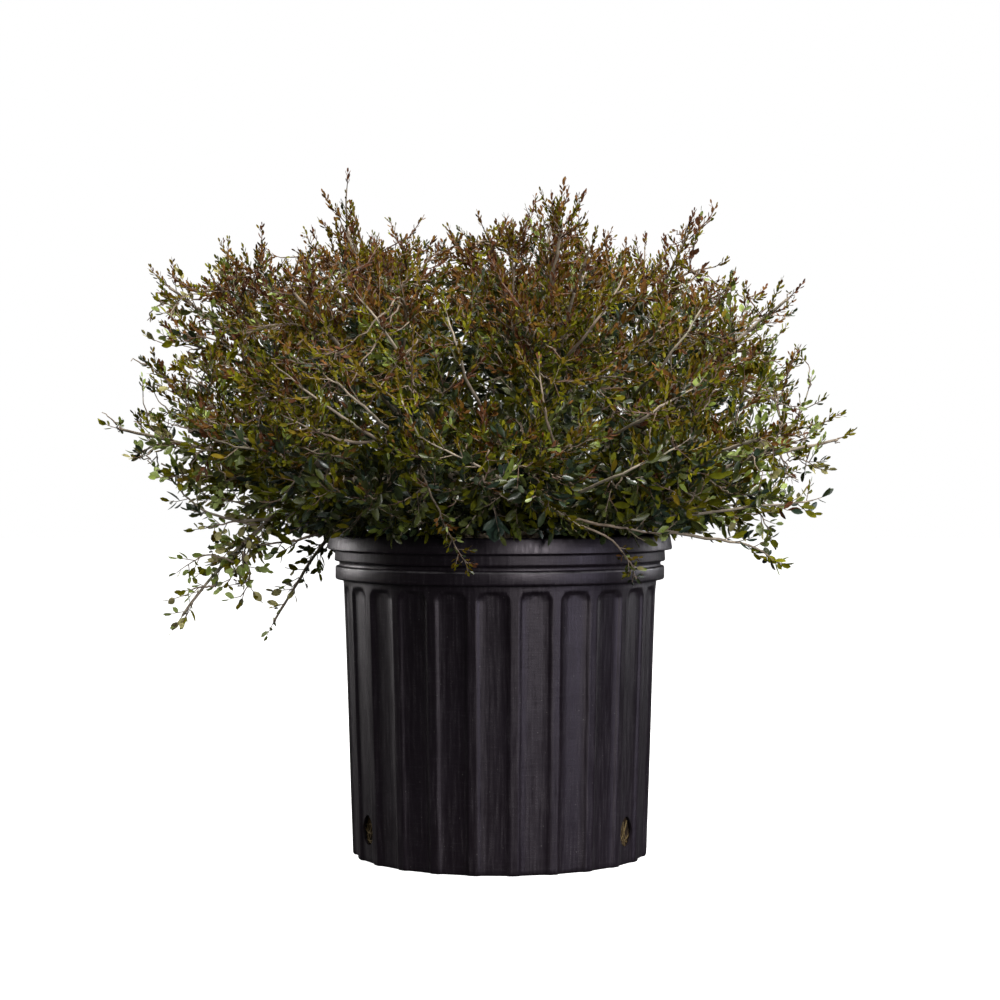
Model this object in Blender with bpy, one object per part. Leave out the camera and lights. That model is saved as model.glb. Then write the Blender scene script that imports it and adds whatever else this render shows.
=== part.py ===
"""A potted dwarf yaupon holly: a low shrub of many stems in a fluted nursery pot.

Metres, +Z up. The origin is the centre of the pot's flat underside. +X is the right of the
photograph and -Y is the side that faces its camera.
"""

import math
import random
from collections import namedtuple

import bmesh
import bpy
import numpy as np
from mathutils import Vector
from mathutils.bvhtree import BVHTree

CLEAR = 0.0003  # the gap between two pieces that meet

# The pot
POT_HEIGHT = 0.2500
LIP_RADIUS = 0.1352
LIP_FOOT = 0.2380
BAND_RADIUS = 0.1296
BAND_FOOT = 0.2290
GROOVE_RADIUS = 0.1258
COLLAR_RADIUS = 0.1287
COLLAR_TOP = 0.2251
COLLAR_FOOT = 0.2148
WALL_TOP_RADIUS = 0.1226
WALL_FOOT_RADIUS = 0.1154
EDGE_ROUNDING = 0.0015
FLOOR_THICKNESS = 0.0040
MOUTH_RADIUS = 0.1300
FLUTES = 24
FIRST_FLUTE_DEG = -92.4  # the flute that faces the camera
FLUTE_DEPTH = 0.0026
FLUTE_TOP = 0.2080
FLUTE_SLOPE = 0.0060
RECESS_HALF_DEG = 4.6
FLUTE_EDGE_HALF_DEG = 5.7
WALL_THICKNESS = 0.0016
DRAIN_HOLES = 3
DRAIN_FLUTE = 4  # flutes from the front one to the first hole
DRAIN_HEIGHT = 0.0250
DRAIN_WIDTH = 0.0180
DRAIN_TALL = 0.0230
DRAIN_SIDES = 12
DRAIN_CUT = 0.0120  # how far the cutter runs to each side of the wall

# The potting mix
SOIL_TOP = 0.2240
SOIL_LEVEL_RADIUS = 0.0750  # past this the top dips
SOIL_DIP = 0.0040
SOIL_SIDES = 24

# The short trunk that the stems rise from: its radius at heights over the soil, and its flare
TRUNK_FOOT = SOIL_TOP + CLEAR
TRUNK_RADII = (0.0225, 0.0165, 0.0140, 0.0130, 0.0115, 0.0085)
TRUNK_HEIGHTS = (0.0, 0.006, 0.016, 0.030, 0.050, 0.057)
TRUNK_SIDES = 12
TRUNK_ROOTS = 4
ROOT_SWELL = 0.14
FLARE_HEIGHT = 0.020
TRUNK_LEAN = Vector((0.05, 0.03))

# The crown, measured from its heart
HEART = Vector((0.0, 0.0, 0.2620))
CROWN_LEFT = 0.310
CROWN_RIGHT = 0.273
CROWN_FRONT = 0.255
CROWN_BACK = 0.268
CROWN_TOP = 0.235
CROWN_SQUARENESS = 3.1
UNDERSIDE = 0.2500
UNDERSIDE_LEVEL_RADIUS = 0.170  # past this the underside rises
UNDERSIDE_SLOPE = 0.38
TUFT_RADIUS = 0.030  # leaves may stand this far round a limb's tip, past the outline

# Boughs of the mound: name, how many, azimuth of the first, rise, reach as a share of the
# outline, arch, height of the root on the trunk, rise at the root
RINGS = (
    ("top", 1, 0.0, 79.0, 1.06, 0.000, 0.0570, 90.0),
    ("high", 5, 0.0, 57.0, 1.06, 0.004, 0.0460, 50.0),
    ("shoulder", 7, 180.0, 35.0, 1.08, 0.006, 0.0330, 36.0),
    ("side", 8, 180.0, 13.0, 1.05, 0.004, 0.0200, 22.0),
)
# Boughs that hang out of the mound: name, azimuth, distance out, height of the tip, arch
HANGING = (
    ("hanging_left", 202.0, 0.268, 0.174, 0.085),
    ("hanging_left_back", 157.0, 0.204, 0.170, 0.085),
    ("hanging_right", -23.0, 0.243, 0.229, 0.060),
    ("hanging_back", 68.0, 0.236, 0.205, 0.070),
)
HANGING_ROOT = 0.0090
HANGING_ROOT_RISE = 30.0
FIRST_SEED = 100

BOUGH_ROOT_RADIUS = 0.0034
BOUGH_TIP_RADIUS = 0.0021
LIMB_TIP_RADIUS = 0.0014
BOUGH_SIDES = 5
BOUGH_POINTS = 5
STEM_POINTS = 6
LIMB_STRETCHES = 15
BOUGH_SHARE = 0.40  # of a limb's length that is bare bough
BEND_SHARE = 0.45  # of the way to its tip that a limb keeps its first heading

# The foliage
TWIGS = 5
TWIG_STRETCHES = 2
TWIG_SIDES = 3
TWIG_RADIUS = 0.0016
TWIG_TIP_RADIUS = 0.0011
LEAF_LENGTH = 0.036
LEAF_WIDTH = 0.0175
LEAF_THICKNESS = 0.0013
LEAF_WIDEST = 0.42  # along the leaf
LEAF_THICKEST = 0.34
LEAF_ROOT = 0.0008  # how far a leaf's root is sunk past its twig's middle
LONGEST_CUT = 0.85  # of a twig's last stretch that its end leaf may take over
LEAF_LEAN_DEG = 48.0
LEAF_STEP = 0.015
LEAF_APART = 0.014  # between the middles of two leaves
LEAVES_IN_MASS = 13
SLIVER = 0.0001  # edges shorter than this are closed up after a union
FLAT = math.radians(0.5)
GOLDEN_ANGLE = math.radians(137.5)
UPWARD = 0.30  # how much a twig bends to the light
TURN_PRICE = 1.5  # over the cosine of a twig's turn: the lower, the straighter it leaves the wood
LEAF_SEED = 1000  # added to a limb's seed for its leaves
SPACE_MARGIN = 0.0010
LIMB_MARGIN = 0.0040
POT_MARGIN = 0.0035
TARGET_REACH = 0.110
CANDIDATES = 16

# The dense middle of a mass: where its own middle lies along the limb, and how far it may fill
CORE_PLACE = 0.64
CORE_REACH = 0.120
CORE_STEP = 0.004
CORE_SHARE = 0.78  # of the outline that the core may fill
CORE_LIFT = 0.006  # of the core over the mound's underside
CORE_MARGIN = 0.0020
CORE_SHRINK = 0.96
CORE_CHECKS = 4  # along each side of a face
CORE_COVER = 0.0020  # a leaf's middle stands at least this far out of the core

Limb = namedtuple("Limb", "name ring seed root bend tip")


def material(name, colour, roughness):
    """A plain Principled material."""
    made = bpy.data.materials.new(name)
    made.use_nodes = True
    shader = made.node_tree.nodes["Principled BSDF"]
    shader.inputs["Base Color"].default_value = (*colour, 1.0)
    shader.inputs["Roughness"].default_value = roughness
    shader.inputs["Metallic"].default_value = 0.0
    return made


def clear_scene():
    for found in list(bpy.data.objects):
        bpy.data.objects.remove(found)


def node(name, mesh, paint):
    """The named object that holds a mesh."""
    mesh.materials.append(paint)
    made = bpy.data.objects.new(name, mesh)
    bpy.context.scene.collection.objects.link(made)
    return made


def mesh_of(name, points, faces):
    mesh = bpy.data.meshes.new(name)
    mesh.from_pydata([tuple(p) for p in points], [], faces)
    mesh.update()
    return mesh


def lathe(name, rings):
    """A closed mesh from rings of equal count, from the lowest outside to the last inside."""
    sides = len(rings[0])
    points = [p for ring in rings for p in ring]
    faces = []
    for level in range(len(rings) - 1):
        low, high = level * sides, (level + 1) * sides
        for i in range(sides):
            j = (i + 1) % sides
            faces.append((low + i, low + j, high + j, high + i))
    first = len(points)
    points.append(sum((Vector(p) for p in rings[0]), Vector()) / sides)
    points.append(sum((Vector(p) for p in rings[-1]), Vector()) / sides)
    last = (len(rings) - 1) * sides
    for i in range(sides):
        j = (i + 1) % sides
        faces.append((first, j, i))
        faces.append((first + 1, last + i, last + j))
    return mesh_of(name, points, faces)


def ring(radius, height, angles):
    return [Vector((radius * math.cos(a), radius * math.sin(a), height)) for a in angles]


def flute_angles():
    """Four angles to a flute: the two edges of its recess and the two of the rib beside it."""
    steps = (-FLUTE_EDGE_HALF_DEG, -RECESS_HALF_DEG, RECESS_HALF_DEG, FLUTE_EDGE_HALF_DEG)
    pitch = 360.0 / FLUTES
    return [math.radians(FIRST_FLUTE_DEG + k * pitch + s) for k in range(FLUTES) for s in steps]


def wall_radius(height):
    share = min(max(height / COLLAR_FOOT, 0.0), 1.0)
    return WALL_FOOT_RADIUS + (WALL_TOP_RADIUS - WALL_FOOT_RADIUS) * share


def fluted_ring(height, depth):
    """A ring of the outer wall, whose second and third point of every four lie in the recess."""
    angles = flute_angles()
    made = []
    for i, angle in enumerate(angles):
        radius = wall_radius(height) - (depth if i % 4 in (1, 2) else 0.0)
        made.append(Vector((radius * math.cos(angle), radius * math.sin(angle), height)))
    return made


def pot():
    angles = flute_angles()
    inner_foot = wall_radius(0.0) - FLUTE_DEPTH - WALL_THICKNESS
    inner_collar = wall_radius(COLLAR_FOOT) - FLUTE_DEPTH - WALL_THICKNESS
    rings = [
        fluted_ring(0.0, FLUTE_DEPTH),
        fluted_ring(FLUTE_TOP - FLUTE_SLOPE, FLUTE_DEPTH),
        fluted_ring(FLUTE_TOP, 0.0),
        ring(wall_radius(COLLAR_FOOT), COLLAR_FOOT, angles),
        ring(COLLAR_RADIUS, COLLAR_FOOT, angles),
        ring(COLLAR_RADIUS, COLLAR_TOP, angles),
        ring(GROOVE_RADIUS, COLLAR_TOP, angles),
        ring(GROOVE_RADIUS, BAND_FOOT, angles),
        ring(BAND_RADIUS, BAND_FOOT, angles),
        ring(BAND_RADIUS, LIP_FOOT, angles),
        ring(LIP_RADIUS, LIP_FOOT, angles),
        ring(LIP_RADIUS, POT_HEIGHT - EDGE_ROUNDING, angles),
        ring(LIP_RADIUS - EDGE_ROUNDING, POT_HEIGHT, angles),
        ring(MOUTH_RADIUS, POT_HEIGHT, angles),
        ring(inner_collar, COLLAR_FOOT, angles),
        ring(inner_foot, FLOOR_THICKNESS, angles),
    ]
    made = node("pot", lathe("pot", rings), material("black_plastic", (0.018, 0.018, 0.022), 0.45))
    for k in range(DRAIN_HOLES):
        flute = DRAIN_FLUTE + k * FLUTES / DRAIN_HOLES
        angle = math.radians(FIRST_FLUTE_DEG + flute * 360.0 / FLUTES)
        cut(made, drain_cutter(f"drain_cutter_{k + 1}", angle))
    made.data.shade_smooth()
    made.data.set_sharp_from_angle(angle=math.radians(20.0))
    return made


def drain_cutter(name, angle):
    """A rounded prism that runs out through the wall near the floor."""
    out = Vector((math.cos(angle), math.sin(angle), 0.0))
    across = Vector((-math.sin(angle), math.cos(angle), 0.0))
    ends = (wall_radius(0.0) - DRAIN_CUT, wall_radius(0.0) + DRAIN_CUT)
    rings = []
    for distance in ends:
        turned = []
        for i in range(DRAIN_SIDES):
            turn = 2.0 * math.pi * (i + 0.5) / DRAIN_SIDES
            point = out * distance + across * (math.cos(turn) * DRAIN_WIDTH / 2.0)
            point.z = DRAIN_HEIGHT + math.sin(turn) * DRAIN_TALL / 2.0
            turned.append(point)
        rings.append(turned)
    return helper(name, lathe(name, rings))


def helper(name, mesh):
    """A cutter, which isn't a piece of the plant."""
    made = bpy.data.objects.new(name, mesh)
    bpy.context.scene.collection.objects.link(made)
    made.hide_render = True
    made.display_type = "WIRE"
    return made


def cut(target, cutter):
    modifier = target.modifiers.new(cutter.name, "BOOLEAN")
    modifier.operation = "DIFFERENCE"
    modifier.solver = "EXACT"
    modifier.object = cutter


def soil():
    """The potting mix: it fills the pot, and its top dips a little towards the wall."""
    angles = [2.0 * math.pi * i / SOIL_SIDES for i in range(SOIL_SIDES)]
    inside = wall_radius(0.0) - FLUTE_DEPTH - WALL_THICKNESS - CLEAR
    inside_top = wall_radius(COLLAR_FOOT) - FLUTE_DEPTH - WALL_THICKNESS - CLEAR
    rings = [
        ring(inside, FLOOR_THICKNESS + CLEAR, angles),
        ring(inside_top, COLLAR_FOOT, angles),
        ring(inside_top, SOIL_TOP - SOIL_DIP, angles),
        ring(SOIL_LEVEL_RADIUS, SOIL_TOP, angles),
    ]
    paint = material("potting_mix", (0.045, 0.030, 0.020), 0.95)
    return node("potting_mix", lathe("potting_mix", rings), paint)


def trunk_axis(height):
    """The middle of the short trunk at a height over the soil. It leans a little."""
    return Vector((TRUNK_LEAN.x * height, TRUNK_LEAN.y * height, TRUNK_FOOT + height))


def trunk_radius(height):
    return float(np.interp(height, TRUNK_HEIGHTS, TRUNK_RADII))


def trunk_side(azimuth, height):
    """From the trunk's middle to its side, which is flat between its corners."""
    half = math.pi / TRUNK_SIDES
    off_middle = math.radians(azimuth) % (2.0 * half) - half
    return trunk_radius(height) * math.cos(half) / math.cos(off_middle)


def trunk(paint):
    """The short trunk, with its root flare, from the flat cut on the soil to where it forks."""
    rings = []
    for radius, height in zip(TRUNK_RADII, TRUNK_HEIGHTS):
        centre = trunk_axis(height)
        flare = ROOT_SWELL * max(0.0, 1.0 - height / FLARE_HEIGHT)
        turned = []
        for i in range(TRUNK_SIDES):
            angle = 2.0 * math.pi * i / TRUNK_SIDES
            swollen = radius * (1.0 + flare * math.cos(TRUNK_ROOTS * angle))
            turned.append(centre + Vector((swollen * math.cos(angle), swollen * math.sin(angle), 0.0)))
        rings.append(turned)
    return node("trunk", lathe("trunk", rings), paint)


def towards(azimuth, rise):
    a, r = math.radians(azimuth), math.radians(rise)
    return Vector((math.cos(a) * math.cos(r), math.sin(a) * math.cos(r), math.sin(r)))


def outline_share(points):
    """How far points are out from the heart, where 1 is the mound's outline."""
    away = points - np.array(HEART)
    half_x = np.where(away[:, 0] < 0.0, CROWN_LEFT, CROWN_RIGHT)
    half_y = np.where(away[:, 1] < 0.0, CROWN_FRONT, CROWN_BACK)
    level = np.hypot(away[:, 0] / half_x, away[:, 1] / half_y)
    upward = np.abs(away[:, 2]) / CROWN_TOP
    return (level**CROWN_SQUARENESS + upward**CROWN_SQUARENESS) ** (1.0 / CROWN_SQUARENESS)


def over_underside(points):
    """How high points are over the mound's underside, which rises towards its outline."""
    out = np.hypot(points[:, 0], points[:, 1])
    return points[:, 2] - UNDERSIDE - UNDERSIDE_SLOPE * np.maximum(out - UNDERSIDE_LEVEL_RADIUS, 0.0)


def limb(name, kind, seed, tip, arch, azimuth, root_height, root_rise):
    """One limb: it leaves the trunk at its own rise, and its arch lifts its middle."""
    start = trunk_axis(root_height)
    leaving = towards(azimuth, root_rise)
    if root_rise < 90.0:
        out = towards(azimuth, 0.0)
        lean = BOUGH_ROOT_RADIUS * math.sin(math.radians(root_rise))
        start = start + out * (trunk_side(azimuth, root_height) + CLEAR + lean)
    else:
        start = start + Vector((0.0, 0.0, CLEAR))
    bend = start + leaving * (BEND_SHARE * (tip - start).length) + Vector((0.0, 0.0, arch))
    return Limb(name, kind, seed, start, bend, tip)


def limbs():
    """Every limb of the crown, in a fixed order."""
    made = []
    for kind, count, first, rise, reach, arch, root, root_rise in RINGS:
        for k in range(count):
            azimuth = first + k * 360.0 / count
            heading = towards(azimuth, rise)
            tip = HEART + heading * (reach / outline_share(np.array([HEART + heading]))[0])
            name = kind if count == 1 else f"{kind}_{k + 1}"
            seed = FIRST_SEED + len(made)
            made.append(limb(name, kind, seed, tip, arch, azimuth, root, root_rise))
    for name, azimuth, out, height, arch in HANGING:
        tip = towards(azimuth, 0.0) * out + Vector((0.0, 0.0, height))
        seed = FIRST_SEED + len(made)
        root = (HANGING_ROOT, HANGING_ROOT_RISE)
        made.append(limb(name, "hanging", seed, tip, arch, azimuth, *root))
    return made


def bezier(a, b, c, share):
    return a * (1.0 - share) ** 2 + b * (2.0 * share * (1.0 - share)) + c * share**2


def limb_point(one, share):
    return bezier(one.root, one.bend, one.tip, share)


def limb_heading(one, share):
    return ((one.bend - one.root) * (1.0 - share) + (one.tip - one.bend) * share).normalized()


def limb_points(one, first, last, count):
    return [limb_point(one, first + (last - first) * i / (count - 1)) for i in range(count)]


def blend(low, high, share):
    return low + (high - low) * share


class Space:
    """Which limb each place belongs to, and how near the wood is."""

    def __init__(self, all_limbs):
        self.limbs = all_limbs
        starts, ends, owners, shares = [], [], [], []
        for i, one in enumerate(all_limbs):
            points = limb_points(one, 0.0, 1.0, LIMB_STRETCHES + 1)
            starts += points[:-1]
            ends += points[1:]
            owners += [i] * LIMB_STRETCHES
            shares += [k / LIMB_STRETCHES for k in range(LIMB_STRETCHES)]
        self.start = np.array(starts)
        self.along = np.array(ends) - self.start
        self.square = (self.along**2).sum(axis=1)
        self.owner = np.array(owners)
        share = np.array(shares)
        self.bough = share < BOUGH_SHARE
        self.radius = BOUGH_ROOT_RADIUS + (BOUGH_TIP_RADIUS - BOUGH_ROOT_RADIUS) * share / BOUGH_SHARE

    def distances(self, points):
        """From each point to each stretch of each limb."""
        away = points[:, None, :] - self.start
        share = np.clip((away * self.along).sum(axis=2) / self.square, 0.0, 1.0)
        return np.linalg.norm(away - self.along * share[..., None], axis=2)

    def holds(self, index, points, margin):
        """For each point, whether it is in the mass of this limb: nearest to its leafy stretch,
        inside the outline or round its tip, and clear of the boughs and the pot."""
        points = np.array(points)
        found = self.distances(points)
        own = found[:, ~self.bough & (self.owner == index)].min(axis=1)
        others = found[:, ~self.bough & (self.owner != index)].min(axis=1)
        from_boughs = (found[:, self.bough] - self.radius[self.bough]).min(axis=1)
        in_mound = (outline_share(points) < 1.0) & (over_underside(points) > 0.0)
        in_crown = in_mound | (own < TUFT_RADIUS)
        clear = (own + 2.0 * margin < others) & (from_boughs > LIMB_MARGIN)
        return in_crown & clear & clear_of_pot(points)


def clear_of_pot(points):
    out = np.hypot(points[:, 0], points[:, 1])
    return (out > LIP_RADIUS + POT_MARGIN) | (points[:, 2] > POT_HEIGHT + POT_MARGIN)


def targets(space, index, count):
    """Seeded places for the twigs to grow to. Each is the best of a few candidates: far from the
    stem and from the earlier ones, and well out, so the first are far apart on the outside."""
    one = space.limbs[index]
    draw = random.Random(one.seed)
    chosen = [np.array(p) for p in limb_points(one, BOUGH_SHARE, 1.0, STEM_POINTS)]
    for _ in range(count):
        tried = []
        for _ in range(CANDIDATES):
            share = blend(BOUGH_SHARE, 1.0, draw.random())
            turn, level = 2.0 * math.pi * draw.random(), 2.0 * draw.random() - 1.0
            out = TARGET_REACH * draw.random() ** 0.5
            flat = math.sqrt(1.0 - level * level)
            way = Vector((flat * math.cos(turn), flat * math.sin(turn), level))
            tried.append(limb_point(one, share) + out * way)
        tried = np.array(tried)
        apart = np.linalg.norm(tried[:, None, :] - np.array(chosen), axis=2).min(axis=1)
        worth = apart * outline_share(tried) * space.holds(index, tried, SPACE_MARGIN)
        best = int(np.argmax(worth))
        if worth[best] > 0.0:
            chosen.append(tried[best])
            yield Vector(tried[best])


def wood_of(space, index, count):
    """The wood of one mass, as lists of points: its stem, then its twigs. Each twig leaves the
    wood where the way to its target is short and runs on from the wood's own, and it bends up."""
    one = space.limbs[index]
    stem = limb_points(one, BOUGH_SHARE, 1.0, STEM_POINTS)
    stem[0] = stem[0] + limb_heading(one, BOUGH_SHARE) * CLEAR
    wood = [stem]
    for place in targets(space, index, count):
        best, least = None, math.inf
        for points in wood:
            for before, foot in zip(points, points[1:-1]):
                heading, away = (foot - before).normalized(), place - foot
                price = away.length * (TURN_PRICE - heading.dot(away.normalized()))
                if price < least:
                    best, least = (foot, heading, away), price
        foot, heading, away = best
        leaving = (heading + away.normalized() + Vector((0.0, 0.0, UPWARD))).normalized()
        bend = foot + leaving * (0.5 * away.length)
        twig = [bezier(foot, bend, place, k / TWIG_STRETCHES) for k in range(TWIG_STRETCHES + 1)]
        if space.holds(index, twig[1:], SPACE_MARGIN).all():
            wood.append(twig)
    return wood


def frame_round(heading):
    """Two unit vectors across a heading."""
    side = heading.cross(Vector((0.0, 0.0, 1.0)))
    if side.length < 0.05:
        side = heading.cross(Vector((1.0, 0.0, 0.0)))
    side.normalize()
    return side, side.cross(heading).normalized()


def tube(name, points, first_radius, last_radius, sides, first=None, last=None):
    """A tapering tube with flat ends, square to the first and the last heading where given."""
    headings = [first or points[1] - points[0]]
    headings += [after - before for before, after in zip(points, points[2:])]
    headings += [last or points[-1] - points[-2]]
    rings = []
    for k, point in enumerate(points):
        side, up = frame_round(headings[k].normalized())
        radius = blend(first_radius, last_radius, k / (len(points) - 1))
        turns = [2.0 * math.pi * i / sides for i in range(sides)]
        rings.append([point + radius * (math.cos(t) * up + math.sin(t) * side) for t in turns])
    return lathe(name, rings)


def leaf_points(foot, heading, side):
    """The six corners of a leaf: root, one side, tip, the other side, and both faces' middles."""
    face = side.cross(heading)
    widest = foot + heading * (LEAF_WIDEST * LEAF_LENGTH)
    thickest = foot + heading * (LEAF_THICKEST * LEAF_LENGTH)
    return [
        foot - heading * LEAF_ROOT,
        widest + side * (LEAF_WIDTH / 2.0),
        foot + heading * LEAF_LENGTH,
        widest - side * (LEAF_WIDTH / 2.0),
        thickest + face * (LEAF_THICKNESS / 2.0),
        thickest - face * (LEAF_THICKNESS / 2.0),
    ]


def leaf_mesh(points):
    faces = [(i, (i + 1) % 4, 4) for i in range(4)] + [((i + 1) % 4, i, 5) for i in range(4)]
    return mesh_of("leaf", points, faces)


def out_of_core(core, points):
    """True where no point lies in the core or just over it."""
    if core is None:
        return True
    for point in points:
        nearest, normal, _, _ = core.find_nearest(point)
        if (point - nearest).dot(normal) < CORE_COVER:
            return False
    return True


def leaf_fits(space, index, core, points):
    sides_and_tip = points[1:4]
    halfway = [(points[2] + side) / 2.0 for side in (points[1], points[3], points[4])]
    if not out_of_core(core, sides_and_tip):
        return False
    return space.holds(index, sides_and_tip + halfway, SPACE_MARGIN).all()


def twig_leaves(points, turn):
    """Leaves along a twig: one goes on from its end, and the others are set round it."""
    lean = math.radians(LEAF_LEAN_DEG)
    heading = (points[-1] - points[-2]).normalized()
    side, _ = frame_round(heading)
    yield leaf_points(points[-1] - heading * TWIG_TIP_RADIUS, heading, side)
    left = LEAF_STEP
    for k in range(len(points) - 1, 0, -1):
        stretch = points[k - 1] - points[k]
        heading = -stretch.normalized()
        side, up = frame_round(heading)
        while left < stretch.length:
            turn += GOLDEN_ANGLE
            outward = math.cos(turn) * up + math.sin(turn) * side
            leaning = heading * math.cos(lean) + outward * math.sin(lean)
            yield leaf_points(points[k] - heading * left, leaning, heading.cross(outward))
            left += LEAF_STEP
        left -= stretch.length


def leaves_of(space, index, wood, core):
    """The leaves of a mass, dealt out over its twigs in turn from their ends inwards."""
    draw = random.Random(space.limbs[index].seed + LEAF_SEED)
    rows = [twig_leaves(points, 2.0 * math.pi * draw.random()) for points in wood]
    middles, made = [], []
    while rows and len(made) < LEAVES_IN_MASS:
        for row in list(rows):
            points = next(row, None)
            if points is None:
                rows.remove(row)
                continue
            middle = (points[1] + points[3]) / 2.0
            crowded = any((middle - other).length < LEAF_APART for other in middles)
            if not crowded and leaf_fits(space, index, core, points) and len(made) < LEAVES_IN_MASS:
                middles.append(middle)
                made.append(leaf_mesh(points))
    return made


def bare_end(points):
    """A twig's points, cut short where the leaf at its end takes over."""
    last = points[-1] - points[-2]
    back = min(LEAF_LENGTH, LONGEST_CUT * last.length)
    return points[:-1] + [points[-1] - last.normalized() * back]


def face_checks(corners):
    """Points spread over a triangle, its corners among them."""
    a, b, c = corners
    steps = range(CORE_CHECKS + 1)
    pairs = [(i, j) for i in steps for j in steps if i + j <= CORE_CHECKS]
    return [a + (b - a) * (i / CORE_CHECKS) + (c - a) * (j / CORE_CHECKS) for i, j in pairs]


def core_holds(space, index, points):
    """For each point, whether the core of this mass may fill it."""
    points = np.array(points)
    deep = (outline_share(points) < CORE_SHARE) & (over_underside(points) > CORE_LIFT)
    return space.holds(index, points, CORE_MARGIN) & deep


def core_of(space, index):
    """The dense middle of a mass: a ball swollen until it meets the limits of the mass's own
    space, then drawn in until every face is inside them."""
    if space.limbs[index].ring == "hanging":
        return None
    centre = limb_point(space.limbs[index], CORE_PLACE)
    ball = bmesh.new()
    bmesh.ops.create_icosphere(ball, subdivisions=2, radius=1.0)
    for corner in ball.verts:
        steps = np.arange(CORE_STEP, CORE_REACH, CORE_STEP)
        free = core_holds(space, index, [centre + corner.co * step for step in steps])
        reach = steps[-1] if free.all() else CORE_STEP * max(int(np.argmin(free)), 1)
        corner.co = centre + corner.co * reach
    busy = True
    while busy:
        busy = False
        for face in ball.faces:
            if not core_holds(space, index, face_checks([corner.co for corner in face.verts])).all():
                busy = True
                furthest = max(face.verts, key=lambda corner: (corner.co - centre).length)
                furthest.co = centre + (furthest.co - centre) * CORE_SHRINK
    return ball


def bough(one):
    """The bare inner part of a limb."""
    points = limb_points(one, 0.0, BOUGH_SHARE, BOUGH_POINTS)
    ending = limb_heading(one, BOUGH_SHARE)
    radii = (BOUGH_ROOT_RADIUS, BOUGH_TIP_RADIUS)
    return tube(f"bough_{one.name}", points, *radii, BOUGH_SIDES, last=ending)


def neighbours(corner):
    return {edge.other_vert(corner) for edge in corner.link_edges}


def close_short_edges(work):
    """Closes up the slivers that a union leaves, wherever the surface stays whole."""
    for edge in sorted(work.edges, key=lambda edge: edge.calc_length()):
        if not edge.is_valid or edge.calc_length() > SLIVER:
            continue
        first, second = edge.verts
        if len(neighbours(first) & neighbours(second)) == 2:
            middle = (first.co + second.co) / 2.0
            bmesh.ops.pointmerge(work, verts=[first, second], merge_co=middle)


def bodies_of(work):
    """The faces of each separate body, the smallest body first."""
    waiting, bodies = set(work.faces), []
    while waiting:
        body, reached = [], [waiting.pop()]
        while reached:
            face = reached.pop()
            body.append(face)
            touching = {other for edge in face.edges for other in edge.link_faces} & waiting
            waiting -= touching
            reached += touching
        bodies.append(body)
    return sorted(bodies, key=len)


def tidied(mesh):
    """Merges the flat faces of a union, closes its slivers and drops its loose scraps."""
    work = bmesh.new()
    work.from_mesh(mesh)
    bmesh.ops.dissolve_limit(work, angle_limit=FLAT, verts=work.verts, edges=work.edges)
    in_line = [corner for corner in work.verts if len(corner.link_edges) == 2]
    bmesh.ops.dissolve_verts(work, verts=in_line)
    bmesh.ops.triangulate(work, faces=work.faces)
    fins = [face for face in work.faces if any(len(edge.link_faces) == 1 for edge in face.edges)]
    bmesh.ops.delete(work, geom=fins, context="FACES")
    close_short_edges(work)
    for body in bodies_of(work)[:-1]:
        bmesh.ops.delete(work, geom=body, context="FACES")
    work.to_mesh(mesh)
    work.free()


def joined(name, meshes, paint):
    """One closed body of many that overlap, by a Boolean union on their collection."""
    group = bpy.data.collections.new(name + "_pieces")
    bpy.context.scene.collection.children.link(group)
    first, *others = meshes
    made = node(name, first, paint)
    for mesh in others:
        group.objects.link(bpy.data.objects.new("piece", mesh))
    modifier = made.modifiers.new("union", "BOOLEAN")
    modifier.operation = "UNION"
    modifier.operand_type = "COLLECTION"
    modifier.collection = group
    modifier.solver = "MANIFOLD"
    with bpy.context.temp_override(object=made, active_object=made):
        bpy.ops.object.modifier_apply(modifier="union")
    for piece in list(group.objects):
        bpy.data.objects.remove(piece)
    bpy.data.collections.remove(group)
    tidied(made.data)
    return made


def foliage(space, index, paint):
    """A mass of foliage: stem, twigs and leaves, with a core where the growth is dense."""
    wood = wood_of(space, index, TWIGS)
    wood = [bare_end(points) for points in wood]
    ball = core_of(space, index)
    core = None
    leaving = limb_heading(space.limbs[index], BOUGH_SHARE)
    meshes = [tube("stem", wood[0], BOUGH_TIP_RADIUS, LIMB_TIP_RADIUS, TWIG_SIDES, first=leaving)]
    meshes += [tube("twig", twig, TWIG_RADIUS, TWIG_TIP_RADIUS, TWIG_SIDES) for twig in wood[1:]]
    if ball is not None:
        core = BVHTree.FromBMesh(ball)
        mesh = bpy.data.meshes.new("core")
        ball.to_mesh(mesh)
        ball.free()
        meshes.append(mesh)
    meshes += leaves_of(space, index, wood, core)
    return joined(f"foliage_{space.limbs[index].name}", meshes, paint)


def main():
    clear_scene()
    bark = material("bark", (0.30, 0.25, 0.20), 0.85)
    leaf = material("foliage", (0.09, 0.085, 0.025), 0.55)
    pot()
    soil()
    trunk(bark)
    space = Space(limbs())
    for index, one in enumerate(space.limbs):
        node(f"bough_{one.name}", bough(one), bark)
        foliage(space, index, leaf)


main()
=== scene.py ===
"""The looks of a potted dwarf yaupon holly: its bark, twigs, leaves, potting mix and pot.

Metres, +Z up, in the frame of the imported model. +X is the right of the photograph and -Y is the
side that faces its camera.
"""

import math
import random
from collections import namedtuple

import bpy
import numpy as np
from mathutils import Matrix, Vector, noise


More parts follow.
